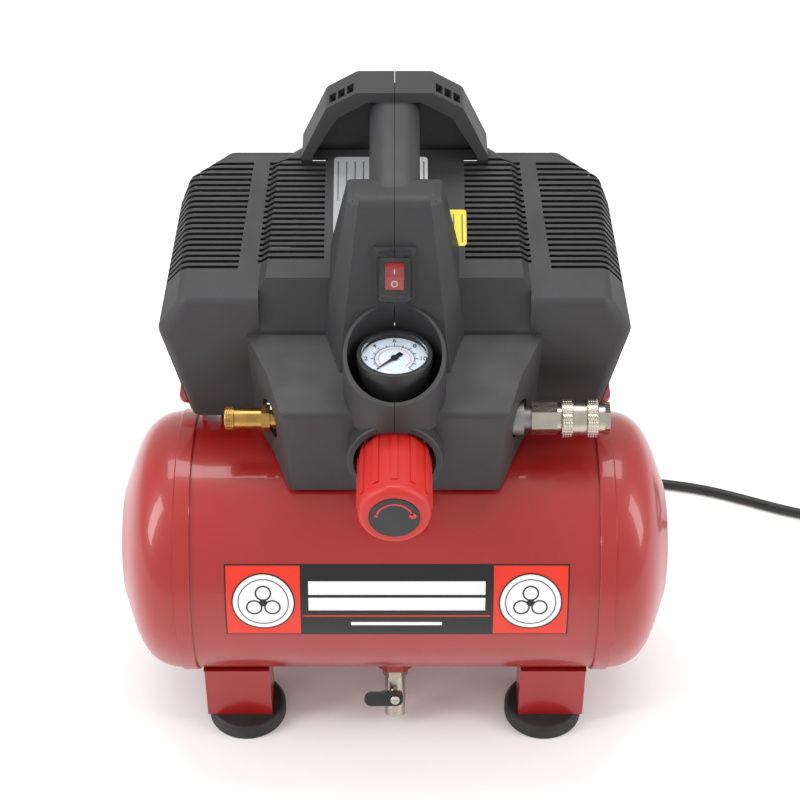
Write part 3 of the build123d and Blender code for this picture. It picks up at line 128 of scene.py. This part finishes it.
class Finish:
    """A Principled material with helpers that put noise into its colour, roughness and bump.

    A scale is the noise's, in waves a metre, and a bump's distance is in metres.
    """

    def __init__(self, name, color, roughness, metallic=0.0, coat=0.0):
        self.name = name
        self.material = bpy.data.materials.new(name + "_look")
        self.material.use_nodes = True
        self.nodes = self.material.node_tree.nodes
        self.links = self.material.node_tree.links
        self.shader = self.nodes["Principled BSDF"]
        self.color = color
        self.shader.inputs["Base Color"].default_value = (*color, 1)
        self.shader.inputs["Roughness"].default_value = roughness
        self.shader.inputs["Metallic"].default_value = metallic
        self.shader.inputs["Coat Weight"].default_value = coat
        self.shader.inputs["Coat Roughness"].default_value = 0.05
        self.coords = self.nodes.new("ShaderNodeTexCoord")
        self.height = None

    def noise(self, scale, detail, stretch=(1, 1, 1)):
        place = self.nodes.new("ShaderNodeMapping")
        place.inputs["Scale"].default_value = stretch
        self.links.new(self.coords.outputs["Object"], place.inputs["Vector"])
        texture = self.nodes.new("ShaderNodeTexNoise")
        texture.inputs["Scale"].default_value = scale
        texture.inputs["Detail"].default_value = detail
        self.links.new(place.outputs["Vector"], texture.inputs["Vector"])
        return texture.outputs["Fac"]

    def vary_color(self, scale, amount):
        low = tuple(value * (1 - amount) for value in self.color)
        high = tuple(min(1.0, value * (1 + amount)) for value in self.color)
        ramp = self.nodes.new("ShaderNodeValToRGB")
        ramp.color_ramp.elements[0].position = NOISE_LOW
        ramp.color_ramp.elements[0].color = (*low, 1)
        ramp.color_ramp.elements[1].position = NOISE_HIGH
        ramp.color_ramp.elements[1].color = (*high, 1)
        self.links.new(self.noise(scale, 4), ramp.inputs["Fac"])
        self.links.new(ramp.outputs["Color"], self.shader.inputs["Base Color"])
        return self

    def vary_roughness(self, scale, low, high, stretch=(1, 1, 1)):
        span = self.nodes.new("ShaderNodeMapRange")
        span.inputs["From Min"].default_value = NOISE_LOW
        span.inputs["From Max"].default_value = NOISE_HIGH
        span.inputs["To Min"].default_value = low
        span.inputs["To Max"].default_value = high
        self.links.new(self.noise(scale, 4, stretch), span.inputs["Value"])
        self.links.new(span.outputs["Result"], self.shader.inputs["Roughness"])
        return self

    def bump(self, scale, strength, distance, detail=3.0, stretch=(1, 1, 1)):
        """Adds a bump on top of any that the finish has already."""
        bump = self.nodes.new("ShaderNodeBump")
        bump.inputs["Strength"].default_value = strength
        bump.inputs["Distance"].default_value = distance
        self.links.new(self.noise(scale, detail, stretch), bump.inputs["Height"])
        if self.height is not None:
            self.links.new(self.height, bump.inputs["Normal"])
        self.height = bump.outputs["Normal"]
        self.links.new(self.height, self.shader.inputs["Normal"])
        return self

    def clear(self, ior):
        self.shader.inputs["Transmission Weight"].default_value = 1.0
        self.shader.inputs["IOR"].default_value = ior
        return self


# Name, colour, roughness, metallic, coat, then the colour noise's scale and amount and the bump's scale,
# strength and distance. The names are the record's material slots, and the prints' own.
SIMPLE_FINISHES = (
    ("zinc_screws", (0.62, 0.61, 0.58), 0.32, 1.0, 0.0, (120, 0.12), (900, 0.10, 0.00005)),
    ("fan_plastic", (0.07, 0.07, 0.07), 0.5, 0.0, 0.0, (60, 0.2), (900, 0.1, 0.00006)),
    ("seal", (0.05, 0.05, 0.05), 0.6, 0.0, 0.0, (60, 0.2), (900, 0.1, 0.00006)),
    ("filter_plastic", (0.04, 0.04, 0.04), 0.5, 0.0, 0.0, (60, 0.2), (900, 0.1, 0.00006)),
    ("pipe_aluminium", (0.66, 0.66, 0.66), 0.35, 1.0, 0.0, (50, 0.1), (700, 0.1, 0.00006)),
    ("steel_pipe", (0.5, 0.5, 0.5), 0.35, 1.0, 0.0, (50, 0.1), (700, 0.1, 0.00006)),
    ("spring_steel", (0.5, 0.5, 0.5), 0.3, 1.0, 0.0, (50, 0.1), (700, 0.1, 0.00004)),
    ("dial_white", (0.74, 0.82, 0.90), 0.5, 0.0, 0.0, (60, 0.02), (900, 0.03, 0.00003)),
    ("needle_black", (0.008, 0.008, 0.008), 0.4, 0.0, 0.0, (200, 0.2), (900, 0.04, 0.00003)),
    ("rocker_red", (0.42, 0.012, 0.012), 0.22, 0.0, 0.6, (90, 0.15), (500, 0.04, 0.00004)),
    ("print_black", (0.004, 0.004, 0.004), 0.34, 0.0, 0.0, (60, 0.15), (60, 0.05, 0.0004)),
    ("print_orange", (0.72, 0.028, 0.008), 0.34, 0.0, 0.0, (60, 0.05), (60, 0.05, 0.0004)),
    ("print_white", (0.80, 0.80, 0.80), 0.35, 0.0, 0.2, (60, 0.03), (60, 0.04, 0.0004)),
    ("print_red", (0.62, 0.025, 0.02), 0.35, 0.0, 0.0, (60, 0.05), (60, 0.03, 0.0003)),
    ("print_grey", (0.10, 0.10, 0.11), 0.4, 0.0, 0.0, (60, 0.05), (60, 0.03, 0.0003)),
    ("sticker_yellow", (0.85, 0.72, 0.03), 0.35, 0.0, 0.0, (60, 0.05), (200, 0.05, 0.0002)),
    ("sticker_silver", (0.40, 0.41, 0.43), 0.34, 0.0, 0.0, (70, 0.05), (200, 0.05, 0.0002)),
)


def build_finishes():
    """The simple finishes, and those whose roughness varies or which are clear."""
    made = []
    for name, color, roughness, metallic, coat, tint, grain in SIMPLE_FINISHES:
        made.append(Finish(name, color, roughness, metallic, coat).vary_color(*tint).bump(*grain))

    paint = Finish("tank_paint", (0.33, 0.008, 0.006), 0.36, coat=0.5)
    paint.vary_color(9, 0.06).vary_roughness(30, 0.32, 0.42)
    paint.bump(14, 0.10, 0.0008, 0).bump(420, 0.05, 0.00004)
    shroud = Finish("shroud_plastic", (0.030, 0.029, 0.031), 0.60)
    shroud.vary_color(14, 0.10).vary_roughness(40, 0.48, 0.62).bump(1500, 0.35, 0.00012, 6)
    rubber = Finish("foot_rubber", (0.016, 0.016, 0.017), 0.62)
    rubber.vary_color(40, 0.25).vary_roughness(60, 0.5, 0.75).bump(700, 0.25, 0.0001)
    nickel = Finish("nickel", (0.50, 0.45, 0.38), 0.27, metallic=1.0)
    nickel.vary_color(90, 0.07).vary_roughness(140, 0.18, 0.34, (1, 8, 8))
    nickel.bump(1400, 0.08, 0.00004, 3, (9, 1, 1))
    black = Finish("black_plastic", (0.014, 0.014, 0.015), 0.38)
    black.vary_color(60, 0.2).vary_roughness(80, 0.32, 0.48).bump(1100, 0.10, 0.00005)
    steel = Finish("motor_steel", (0.42, 0.42, 0.43), 0.36, metallic=1.0)
    steel.vary_color(60, 0.15).vary_roughness(90, 0.3, 0.48).bump(900, 0.12, 0.00006, 3, (1, 7, 7))
    cast = Finish("cast_aluminium", (0.30, 0.295, 0.29), 0.46, metallic=1.0)
    cast.vary_color(70, 0.14).vary_roughness(60, 0.38, 0.58).bump(600, 0.35, 0.00015, 6)
    brass = Finish("brass", (0.45, 0.26, 0.075), 0.30, metallic=1.0)
    brass.vary_color(120, 0.16).vary_roughness(120, 0.2, 0.38).bump(1500, 0.08, 0.00004, 3, (9, 1, 1))
    knob = Finish("knob_red", (0.50, 0.016, 0.012), 0.42)
    knob.vary_color(30, 0.07).vary_roughness(60, 0.36, 0.5).bump(1300, 0.16, 0.00006)
    cord = Finish("cord_rubber", (0.013, 0.013, 0.014), 0.45)
    cord.vary_color(60, 0.2).vary_roughness(70, 0.38, 0.55).bump(900, 0.12, 0.00006)
    lens = Finish("clear_lens", (0.97, 0.98, 1.0), 0.02).clear(1.1).bump(40, 0.02, 0.0001)
    boot = Finish("clear_boot", (0.94, 0.94, 0.95), 0.10).clear(1.25).bump(300, 0.06, 0.0001)
    made += [paint, shroud, rubber, nickel, black, steel, cast, brass, knob, cord, lens, boot]
    return {finish.name: finish.material for finish in made}


def dress_nodes(finishes):
    """Gives every CAD node the finish of its record slot."""
    slots = {entry["node"]: entry["material_slot"] for entry in frame["record"]["subparts"]}
    for name, node in frame["nodes"].items():
        node.data.materials.clear()
        node.data.materials.append(finishes[slots[name]])


# ---------------------------------------------------------------- mesh helpers
SAME_POINT = 5                               # decimals of a millimetre at which two points are one


def new_piece(name, mesh, finish, body):
    piece = bpy.data.objects.new(name, mesh)
    bpy.context.scene.collection.objects.link(piece)
    mesh.materials.clear()
    mesh.materials.append(finish)
    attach(piece, body)


def save_mesh(work, mesh):
    """Writes the bmesh `work` into `mesh`, with its faces turned outward."""
    bmesh.ops.recalc_face_normals(work, faces=work.faces)
    work.to_mesh(mesh)
    work.free()


def plate_mesh(name, polygons, lower, upper):
    """Closed thin plate from flat polygons; `lower` and `upper` map a flat point to each side."""
    outlines = []
    for polygon in polygons:
        outlines.append([(round(x, SAME_POINT), round(y, SAME_POINT)) for x, y in polygon])
    work = bmesh.new()
    sides = []
    for place in (upper, lower):
        verts = {}
        for outline in outlines:
            for key in outline:
                if key not in verts:
                    verts[key] = work.verts.new(place(*key))
        sides.append(verts)
    top, bottom = sides
    edges = {}
    for outline in outlines:
        if len(set(outline)) < len(outline):
            continue
        work.faces.new([top[key] for key in outline])
        work.faces.new([bottom[key] for key in reversed(outline)])
        for edge in zip(outline, outline[1:] + outline[:1]):
            edges[edge] = True
    for first, second in edges:
        if (second, first) not in edges:
            work.faces.new([top[second], top[first], bottom[first], bottom[second]])
    mesh = bpy.data.meshes.new(name)
    save_mesh(work, mesh)
    return mesh


def grid_faces(x0, x1, y0, y1, columns, rows):
    """Flat rectangle cut into columns and rows."""
    faces = []
    for column in range(columns):
        for row in range(rows):
            xs = [x0 + (x1 - x0) * (column + step) / columns for step in (0, 1)]
            ys = [y0 + (y1 - y0) * (row + step) / rows for step in (0, 1)]
            faces.append([(xs[0], ys[0]), (xs[1], ys[0]), (xs[1], ys[1]), (xs[0], ys[1])])
    return faces


def ring_faces(x, y, inner, outer, start=0.0, end=360.0, steps=64, rings=1):
    """Flat ring, disc or sector; angles in degrees."""
    faces = []
    for step in range(steps):
        turns = [math.radians(start + (end - start) * (step + part) / steps) for part in (0, 1)]
        for ring in range(rings):
            radii = [inner + (outer - inner) * (ring + part) / rings for part in (0, 1)]
            corners = [(radii[0], turns[0]), (radii[1], turns[0]), (radii[1], turns[1]), (radii[0], turns[1])]
            flat = [(x + radius * math.cos(turn), y + radius * math.sin(turn)) for radius, turn in corners]
            faces.append(flat[1:] if radii[0] < 1e-6 else flat)
    return faces


def bar_faces(angle, start, end, width):
    """Flat bar that points away from the origin at `angle` degrees."""
    turn = math.radians(angle)
    along = (math.cos(turn), math.sin(turn))
    across = (-math.sin(turn) * width / 2, math.cos(turn) * width / 2)
    return [[(along[0] * start - across[0], along[1] * start - across[1]),
             (along[0] * end - across[0], along[1] * end - across[1]),
             (along[0] * end + across[0], along[1] * end + across[1]),
             (along[0] * start + across[0], along[1] * start + across[1])]]


def rounded_faces(x0, x1, y0, y1, corner, steps=6):
    """Flat rectangle with round corners, as a fan from its middle."""
    outline = []
    for x, y, start in ((x1 - corner, y0 + corner, -90), (x1 - corner, y1 - corner, 0),
                        (x0 + corner, y1 - corner, 90), (x0 + corner, y0 + corner, 180)):
        for step in range(steps + 1):
            turn = math.radians(start + 90 * step / steps)
            outline.append((x + corner * math.cos(turn), y + corner * math.sin(turn)))
    middle = ((x0 + x1) / 2, (y0 + y1) / 2)
    return [[middle, first, second] for first, second in zip(outline, outline[1:] + outline[:1])]


# ---------------------------------------------------------------- the decal on the tank, in mm
DECAL_X = (-100.5, 103.0)                    # its ends
DECAL_ARC = (-2.4, 46.0)                     # its edges, as arc lengths above the tank's middle
DECAL_LIFT = 0.10
LAYER = 0.12                                 # how far each layer stands over the one below
LAYER_SINK = 0.1                             # how far a layer reaches down under its own start
BLOCK_WIDE = 45.5
BLOCK_EDGE = 0.9                             # black edge round a block
DISC_R = 18.0
DISC_EDGE = 0.8
DISC_LINE = (14.6, 15.1)
HUB_R = 2.4
BLADE_OUT = 6.2                              # from the disc's middle to a small ring's
BLADE_RING = (4.0, 4.9)
STRIPE_EDGE = 4                              # from a block to the end of a stripe
STRIPES = ((19.0, 10.5), (29.5, 21.0))       # lower and upper edge of each, down from the decal's top
LINE = (34.0, 33.2)
LINE_PAST = 3                                # how far the line runs past the stripes
DASH_X = (-26, 28)
DASH = (40.6, 38.2)


def on_tank(lift):
    """Maps x and the arc height above the tank's middle, in mm, to a place over the tank's front."""
    def place(x, arc):
        turn = arc / TANK_R
        radius = TANK_R + lift
        return at(x, -radius * math.cos(turn), radius * math.sin(turn))
    return place


def decal(name, faces, finish, layer):
    lower = on_tank(DECAL_LIFT + layer * LAYER - LAYER_SINK)
    upper = on_tank(DECAL_LIFT + (layer + 1) * LAYER)
    new_piece(name, plate_mesh(name, faces, lower, upper), finish, "root")


def build_decal(finishes):
    """Black band with an orange block and a white disc at each end, and plain bars between them."""
    x0, x1 = DECAL_X
    low, high = DECAL_ARC
    middle = (low + high) / 2
    half = BLOCK_WIDE / 2 - BLOCK_EDGE
    blocks = []
    discs = []
    symbols = []
    for centre in (x0 + BLOCK_WIDE / 2, x1 - BLOCK_WIDE / 2):
        blocks += grid_faces(centre - half, centre + half, low + BLOCK_EDGE, high - BLOCK_EDGE, 16, 20)
        discs += ring_faces(centre, middle, 0, DISC_R, rings=8)
        symbols += ring_faces(centre, middle, DISC_R, DISC_R + DISC_EDGE)
        symbols += ring_faces(centre, middle, *DISC_LINE)
        symbols += ring_faces(centre, middle, 0, HUB_R, steps=24)
        for blade in range(3):
            turn = math.radians(90 + blade * 120)
            ring_x = centre + BLADE_OUT * math.cos(turn)
            ring_y = middle + BLADE_OUT * math.sin(turn)
            symbols += ring_faces(ring_x, ring_y, *BLADE_RING, steps=40)
    inner0 = x0 + BLOCK_WIDE + STRIPE_EDGE
    inner1 = x1 - BLOCK_WIDE - STRIPE_EDGE
    stripes = []
    for below, above in STRIPES:
        stripes += grid_faces(inner0, inner1, high - below, high - above, 24, 4)
    line = grid_faces(inner0 - LINE_PAST, inner1 + LINE_PAST, high - LINE[0], high - LINE[1], 24, 1)
    dash = grid_faces(*DASH_X, high - DASH[0], high - DASH[1], 16, 2)
    decal("decal_band", grid_faces(x0, x1, low, high, 40, 20), finishes["print_black"], 0)
    decal("decal_blocks", blocks, finishes["print_orange"], 1)
    decal("decal_discs", discs, finishes["print_white"], 2)
    decal("decal_symbols", symbols, finishes["print_black"], 3)
    decal("decal_stripes", stripes, finishes["print_white"], 1)
    decal("decal_line", line, finishes["print_orange"], 1)
    decal("decal_dash", dash, finishes["print_white"], 1)


# ---------------------------------------------------------------- flat prints
PRINT_SINK = 0.03                            # mm that a print reaches into its surface


def flat_print(name, faces, plane, finish, body, thick=0.08):
    """Thin printed plate on `plane`, a matrix whose z axis leaves the surface; sizes in mm."""
    def lower(x, y):
        return plane @ (Vector((x, y, -PRINT_SINK)) * MM)

    def upper(x, y):
        return plane @ (Vector((x, y, thick)) * MM)
    new_piece(name, plate_mesh(name, faces, lower, upper), finish, body)


# ---------------------------------------------------------------- the gauge's scale, in mm and degrees
GAUGE_AT = Vector((0.0, -24.0, 163.3))       # middle of the dial's top
DIAL_LIFT = 0.02
LAST_BAR = 12
BAR_FROM = 225.0                             # angle of zero
BAR_STEP = 22.5                              # angle from one bar to the next
SWEEP = LAST_BAR * BAR_STEP
TICKS_A_BAR = 5
SCALE_R = 11.2
SCALE_LINE = 0.15                            # half the black arc's width, and all of the red arc's
TICKS = (2.6, 1.9, 1.1)                      # length at every second bar, at the other bars and between them
TICK_WIDE = 0.5
TICK_THIN = 0.22
RED_R = SCALE_R - 2.2
RED_STEPS = 34
RED_TICK = 0.9
RED_LONG_TICK = 1.5
RED_WIDE = 0.2
NUMERAL_R = 16.2
NUMERAL_SIZE = 4.6
NUMERAL_THICK = 0.04
NUMERAL_BOLD = 0.05
NUMERAL_LIFT = 0.05


def numeral(text, x, y, plane, finish):
    curve = bpy.data.curves.new("numeral_" + text, "FONT")
    curve.body = text
    curve.size = NUMERAL_SIZE * MM
    curve.align_x = "CENTER"
    curve.align_y = "CENTER"
    curve.extrude = NUMERAL_THICK * MM
    curve.offset = NUMERAL_BOLD * MM
    holder = bpy.data.objects.new("numeral_source", curve)
    mesh = bpy.data.meshes.new_from_object(holder)
    bpy.data.objects.remove(holder)
    mesh.transform(plane @ Matrix.Translation(Vector((x, y, NUMERAL_LIFT)) * MM))
    new_piece("dial_numeral_" + text, mesh, finish, "root")


def build_gauge(finishes):
    """Black scale in bar, a red scale inside it, and a numeral at every second bar."""
    plane = Matrix.Translation(at(*(GAUGE_AT + Vector((0, 0, DIAL_LIFT)))))
    black = []
    for tick in range(LAST_BAR * TICKS_A_BAR + 1):
        angle = BAR_FROM - tick / TICKS_A_BAR * BAR_STEP
        if tick % (2 * TICKS_A_BAR) == 0:
            length = TICKS[0]
        elif tick % TICKS_A_BAR == 0:
            length = TICKS[1]
        else:
            length = TICKS[2]
        width = TICK_WIDE if tick % TICKS_A_BAR == 0 else TICK_THIN
        black += bar_faces(angle, SCALE_R, SCALE_R + length, width)
    black += ring_faces(0, 0, SCALE_R - SCALE_LINE, SCALE_R + SCALE_LINE, BAR_FROM - SWEEP, BAR_FROM, 90)
    red = []
    for tick in range(RED_STEPS + 1):
        length = RED_TICK if tick % 5 else RED_LONG_TICK
        red += bar_faces(BAR_FROM - tick * SWEEP / RED_STEPS, RED_R, RED_R + length, RED_WIDE)
    red += ring_faces(0, 0, RED_R - SCALE_LINE, RED_R, BAR_FROM - SWEEP, BAR_FROM, 90)
    flat_print("dial_scale_black", black, plane, finishes["print_black"], "root")
    flat_print("dial_scale_red", red, plane, finishes["print_red"], "root")
    for bar in range(0, LAST_BAR + 1, 2):
        turn = math.radians(BAR_FROM - bar * BAR_STEP)
        numeral(str(bar), NUMERAL_R * math.cos(turn), NUMERAL_R * math.sin(turn), plane,
                finishes["print_black"])


# ---------------------------------------------------------------- the arc on the knob's cap, in mm
KNOB_FACE = (0, -98.4, 110)                  # middle of the cap's front
ARC = (9.6, 10.7)
ARC_ENDS = ((10.2, 2.0), (-10.1, 1.0))       # x and radius of the dot at each end
ARC_ENDS_Y = 1.6


def build_knob_print(finishes):
    plane = Matrix.Translation(at(*KNOB_FACE)) @ Matrix.Rotation(math.radians(90), 4, "X")
    marks = ring_faces(0, 0, *ARC, start=12, end=168, steps=48)
    for x, radius in ARC_ENDS:
        marks += ring_faces(x, ARC_ENDS_Y, 0, radius, steps=24)
    flat_print("knob_arc", marks, plane, finishes["print_red"], "knob_set")


# ---------------------------------------------------------------- stickers on the sloping panel, in mm
PANEL_FOOT = (0, 15.0, 173.0)                # a point on the slope, under the panel's face
PANEL_LIFT = 5.0                             # from there to the face
PANEL_SLOPE = math.atan2(48, 97)
STICKER_CORNER = 2.0
BAR_HALF = 0.35                              # half a printed bar's width
BAR_MARGIN = 3                               # from the label's top to its bars
BAR_PITCH = 5                                # about this far from one bar to the next
BAR_LONG = 0.78                              # a bar's length as a part of the label's
BAR_SHORT = 0.52
STICKERS = (                                 # name, x from and to, y from and to, finish
    ("sticker_rating", (-36.0, -6.0), (53.6, 100.0), "sticker_silver"),
    ("sticker_notice", (6.0, 19.5), (60.0, 100.0), "print_white"),
    ("sticker_yellow", (27.0, 42.0), (46.5, 68.0), "sticker_yellow"),
)


def build_stickers(finishes):
    """Blank labels, with plain bars where the real ones are printed."""
    plane = (Matrix.Translation(at(*PANEL_FOOT)) @ Matrix.Rotation(PANEL_SLOPE, 4, "X")
             @ Matrix.Translation(Vector((0, 0, PANEL_LIFT)) * MM))
    for name, (x0, x1), ends, finish in STICKERS:
        low, high = [(y - PANEL_FOOT[1]) / math.cos(PANEL_SLOPE) for y in ends]
        label = rounded_faces(x0, x1, low, high, STICKER_CORNER)
        flat_print(name, label, plane, finishes[finish], "root")
        bars = []
        columns = max(2, round((x1 - x0) / BAR_PITCH))
        for column in range(columns):
            middle = x0 + (x1 - x0) * (column + 0.5) / columns
            length = (high - low) * (BAR_LONG if column % 3 else BAR_SHORT)
            top = high - BAR_MARGIN
            bars += grid_faces(middle - BAR_HALF, middle + BAR_HALF, top - length, top, 1, 6)
        flat_print(name + "_bars", bars, plane, finishes["print_grey"], "root", thick=0.14)


# ---------------------------------------------------------------- marks on the rocker, in mm
SWITCH_SLOPE = math.radians(77.6)
ROCKER_TILT = math.radians(11)               # how far the rocker leans at rest
ROCKER_PIVOT = (0.0, 7.3 - math.sin(SWITCH_SLOPE), 200.5 + math.cos(SWITCH_SLOPE))
ROCKER_DIP = math.atan2(1.4, 7.8)            # slope of each half of the rocker's face
ROCKER_FACE = 2.9                            # the face's middle above the pivot
MARK_OUT = 4.2                               # from the pivot's line to a mark


def build_rocker_marks(finishes):
    """A bar on the rocker's upper half and a ring on its lower half."""
    rocker = Matrix.Translation(at(*ROCKER_PIVOT)) @ Matrix.Rotation(SWITCH_SLOPE + ROCKER_TILT, 4, "X")
    height = ROCKER_FACE + MARK_OUT * math.tan(ROCKER_DIP)
    for name, side, faces in (("rocker_bar", 1, grid_faces(-0.35, 0.35, -1.9, 1.9, 1, 2)),
                              ("rocker_ring", -1, ring_faces(0, 0, 1.35, 1.95, steps=28))):
        plane = (rocker @ Matrix.Translation(Vector((0, side * MARK_OUT, height)) * MM)
                 @ Matrix.Rotation(side * ROCKER_DIP, 4, "X"))
        flat_print(name, faces, plane, finishes["print_white"], "rocker", thick=0.1)


# ---------------------------------------------------------------- knurled bands, in mm
PORT_LINE = (-13, 110)                       # y and z of the line that the two side fittings lie on
KNURL_SINK = 0.3                             # how far a band reaches under its surface
SLEEVE_BANDS = (("sleeve_knurl_near", 97.9), ("sleeve_knurl_far", 112.6))
SLEEVE_KNURL = (5.6, 11.45, 0.4, 34)         # width, radius, height and diamonds around
VALVE_BAND = -99.0
VALVE_KNURL = (4.2, 6.75, 0.35, 22)


def knurl(name, x, width, radius, height, around, finish, body, slot):
    """Diamond-knurled band round the line of the ports, closed at its ends."""
    rows = max(4, round(width / (2 * math.pi * radius / around)))
    rows += rows % 2
    rows *= 2
    columns = 2 * around
    verts = []
    faces = []

    def add_vert(along, reach, column):
        turn = 2 * math.pi * column / columns
        y = PORT_LINE[0] + reach * math.cos(turn)
        z = PORT_LINE[1] + reach * math.sin(turn)
        verts.append(at(x + along, y, z))

    for row in range(rows + 1):
        for column in range(columns):
            raised = row % 2 == 1 and column % 2 == 1
            add_vert(width * row / rows, radius + (height if raised else 0.0), column)
    inner = len(verts)
    for end in (0, 1):
        for column in range(columns):
            add_vert(width * end, radius - KNURL_SINK, column)
    last = rows * columns
    for column in range(columns):
        after = (column + 1) % columns
        for row in range(rows):
            faces.append((row * columns + column, row * columns + after,
                          (row + 1) * columns + after, (row + 1) * columns + column))
        faces.append((column, inner + column, inner + after, after))
        faces.append((last + column, last + after, inner + columns + after, inner + columns + column))
        faces.append((inner + column, inner + columns + column, inner + columns + after, inner + after))
    mesh = bpy.data.meshes.new(name)
    mesh.from_pydata(verts, [], faces)
    work = bmesh.new()
    work.from_mesh(mesh)
    save_mesh(work, mesh)
    new_piece(name, mesh, finish, body)


def build_knurls(finishes):
    for name, x in SLEEVE_BANDS:
        knurl(name, x, *SLEEVE_KNURL, finishes["nickel"], "coupler_ring", "nickel")
    knurl("valve_knurl", VALVE_BAND, *VALVE_KNURL, finishes["brass"], "valve_pull", "brass")


# ---------------------------------------------------------------- mains cord, in mm
CORD_D = 6.5 * MM                            # metres
CORD_POINTS = [
    (92, 146, 104), (92, 164, 104), (94, 183, 94), (97, 195, 72), (101, 201, 42), (106, 201, 8),
    (113, 198, -26), (122, 193, -58), (134, 186, -85), (151, 180, -102), (174, 174, -109.7),
    (200, 170, -109.7), (226, 164, -109.7), (252, 154, -109.7), (278, 143, -109.7),
    (304, 135, -109.7), (328, 131, -109.7), (350, 131.5, -109.7),
]
COIL_AT = (352.0, 174.3)
COIL_RADII = (29.75, 36.25, 42.75)
COIL_LAYERS = (-109.75, -103.25, -96.75)
COIL_LAY = ((2, 0), (1, 0), (0, 0), (0, 1), (1, 1), (2, 1), (2, 2))   # radius and layer of each turn
COIL_TURNS = 6.25
TURN_POINTS = 16
MOVE_OVER = 0.7                              # part of a turn after which it moves to the next one's place
PLUG_AT = (394.0, 192.3, -94.5)


def coil_points():
    """The put-away turns, laid beside and on each other."""
    points = []
    for step in range(1, round(COIL_TURNS * TURN_POINTS) + 1):
        turn, part = divmod(step / TURN_POINTS, 1)
        here = COIL_LAY[int(turn)]
        after = COIL_LAY[min(int(turn) + 1, len(COIL_LAY) - 1)]
        shift = min(max((part - MOVE_OVER) / (1 - MOVE_OVER), 0), 1)
        shift = shift * shift * (3 - 2 * shift)
        radius = COIL_RADII[here[0]] + (COIL_RADII[after[0]] - COIL_RADII[here[0]]) * shift
        height = COIL_LAYERS[here[1]] + (COIL_LAYERS[after[1]] - COIL_LAYERS[here[1]]) * shift
        angle = math.radians(-90 + 360 * step / TURN_POINTS)
        points.append((COIL_AT[0] + radius * math.cos(angle), COIL_AT[1] + radius * math.sin(angle), height))
    return points


def build_cord(finishes):
    points = CORD_POINTS + coil_points() + [PLUG_AT]
    curve = bpy.data.curves.new("mains_cord", "CURVE")
    curve.dimensions = "3D"
    curve.bevel_depth = CORD_D / 2
    curve.bevel_resolution = 6
    curve.use_fill_caps = True
    spline = curve.splines.new("NURBS")
    spline.points.add(len(points) - 1)
    for control, point in zip(spline.points, points):
        control.co = (*at(*point), 1)
    spline.order_u = 3
    spline.use_endpoint_u = True
    spline.resolution_u = 8
    cord = bpy.data.objects.new("mains_cord", curve)
    bpy.context.scene.collection.objects.link(cord)
    curve.materials.append(finishes["cord_rubber"])
    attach(cord, "root")
    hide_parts("power_cord", "cord_coil")


FINISHES = build_finishes()
build_camera()
build_stage()
dress_nodes(FINISHES)
build_decal(FINISHES)
build_gauge(FINISHES)
build_knob_print(FINISHES)
build_stickers(FINISHES)
build_rocker_marks(FINISHES)
build_knurls(FINISHES)
build_cord(FINISHES)
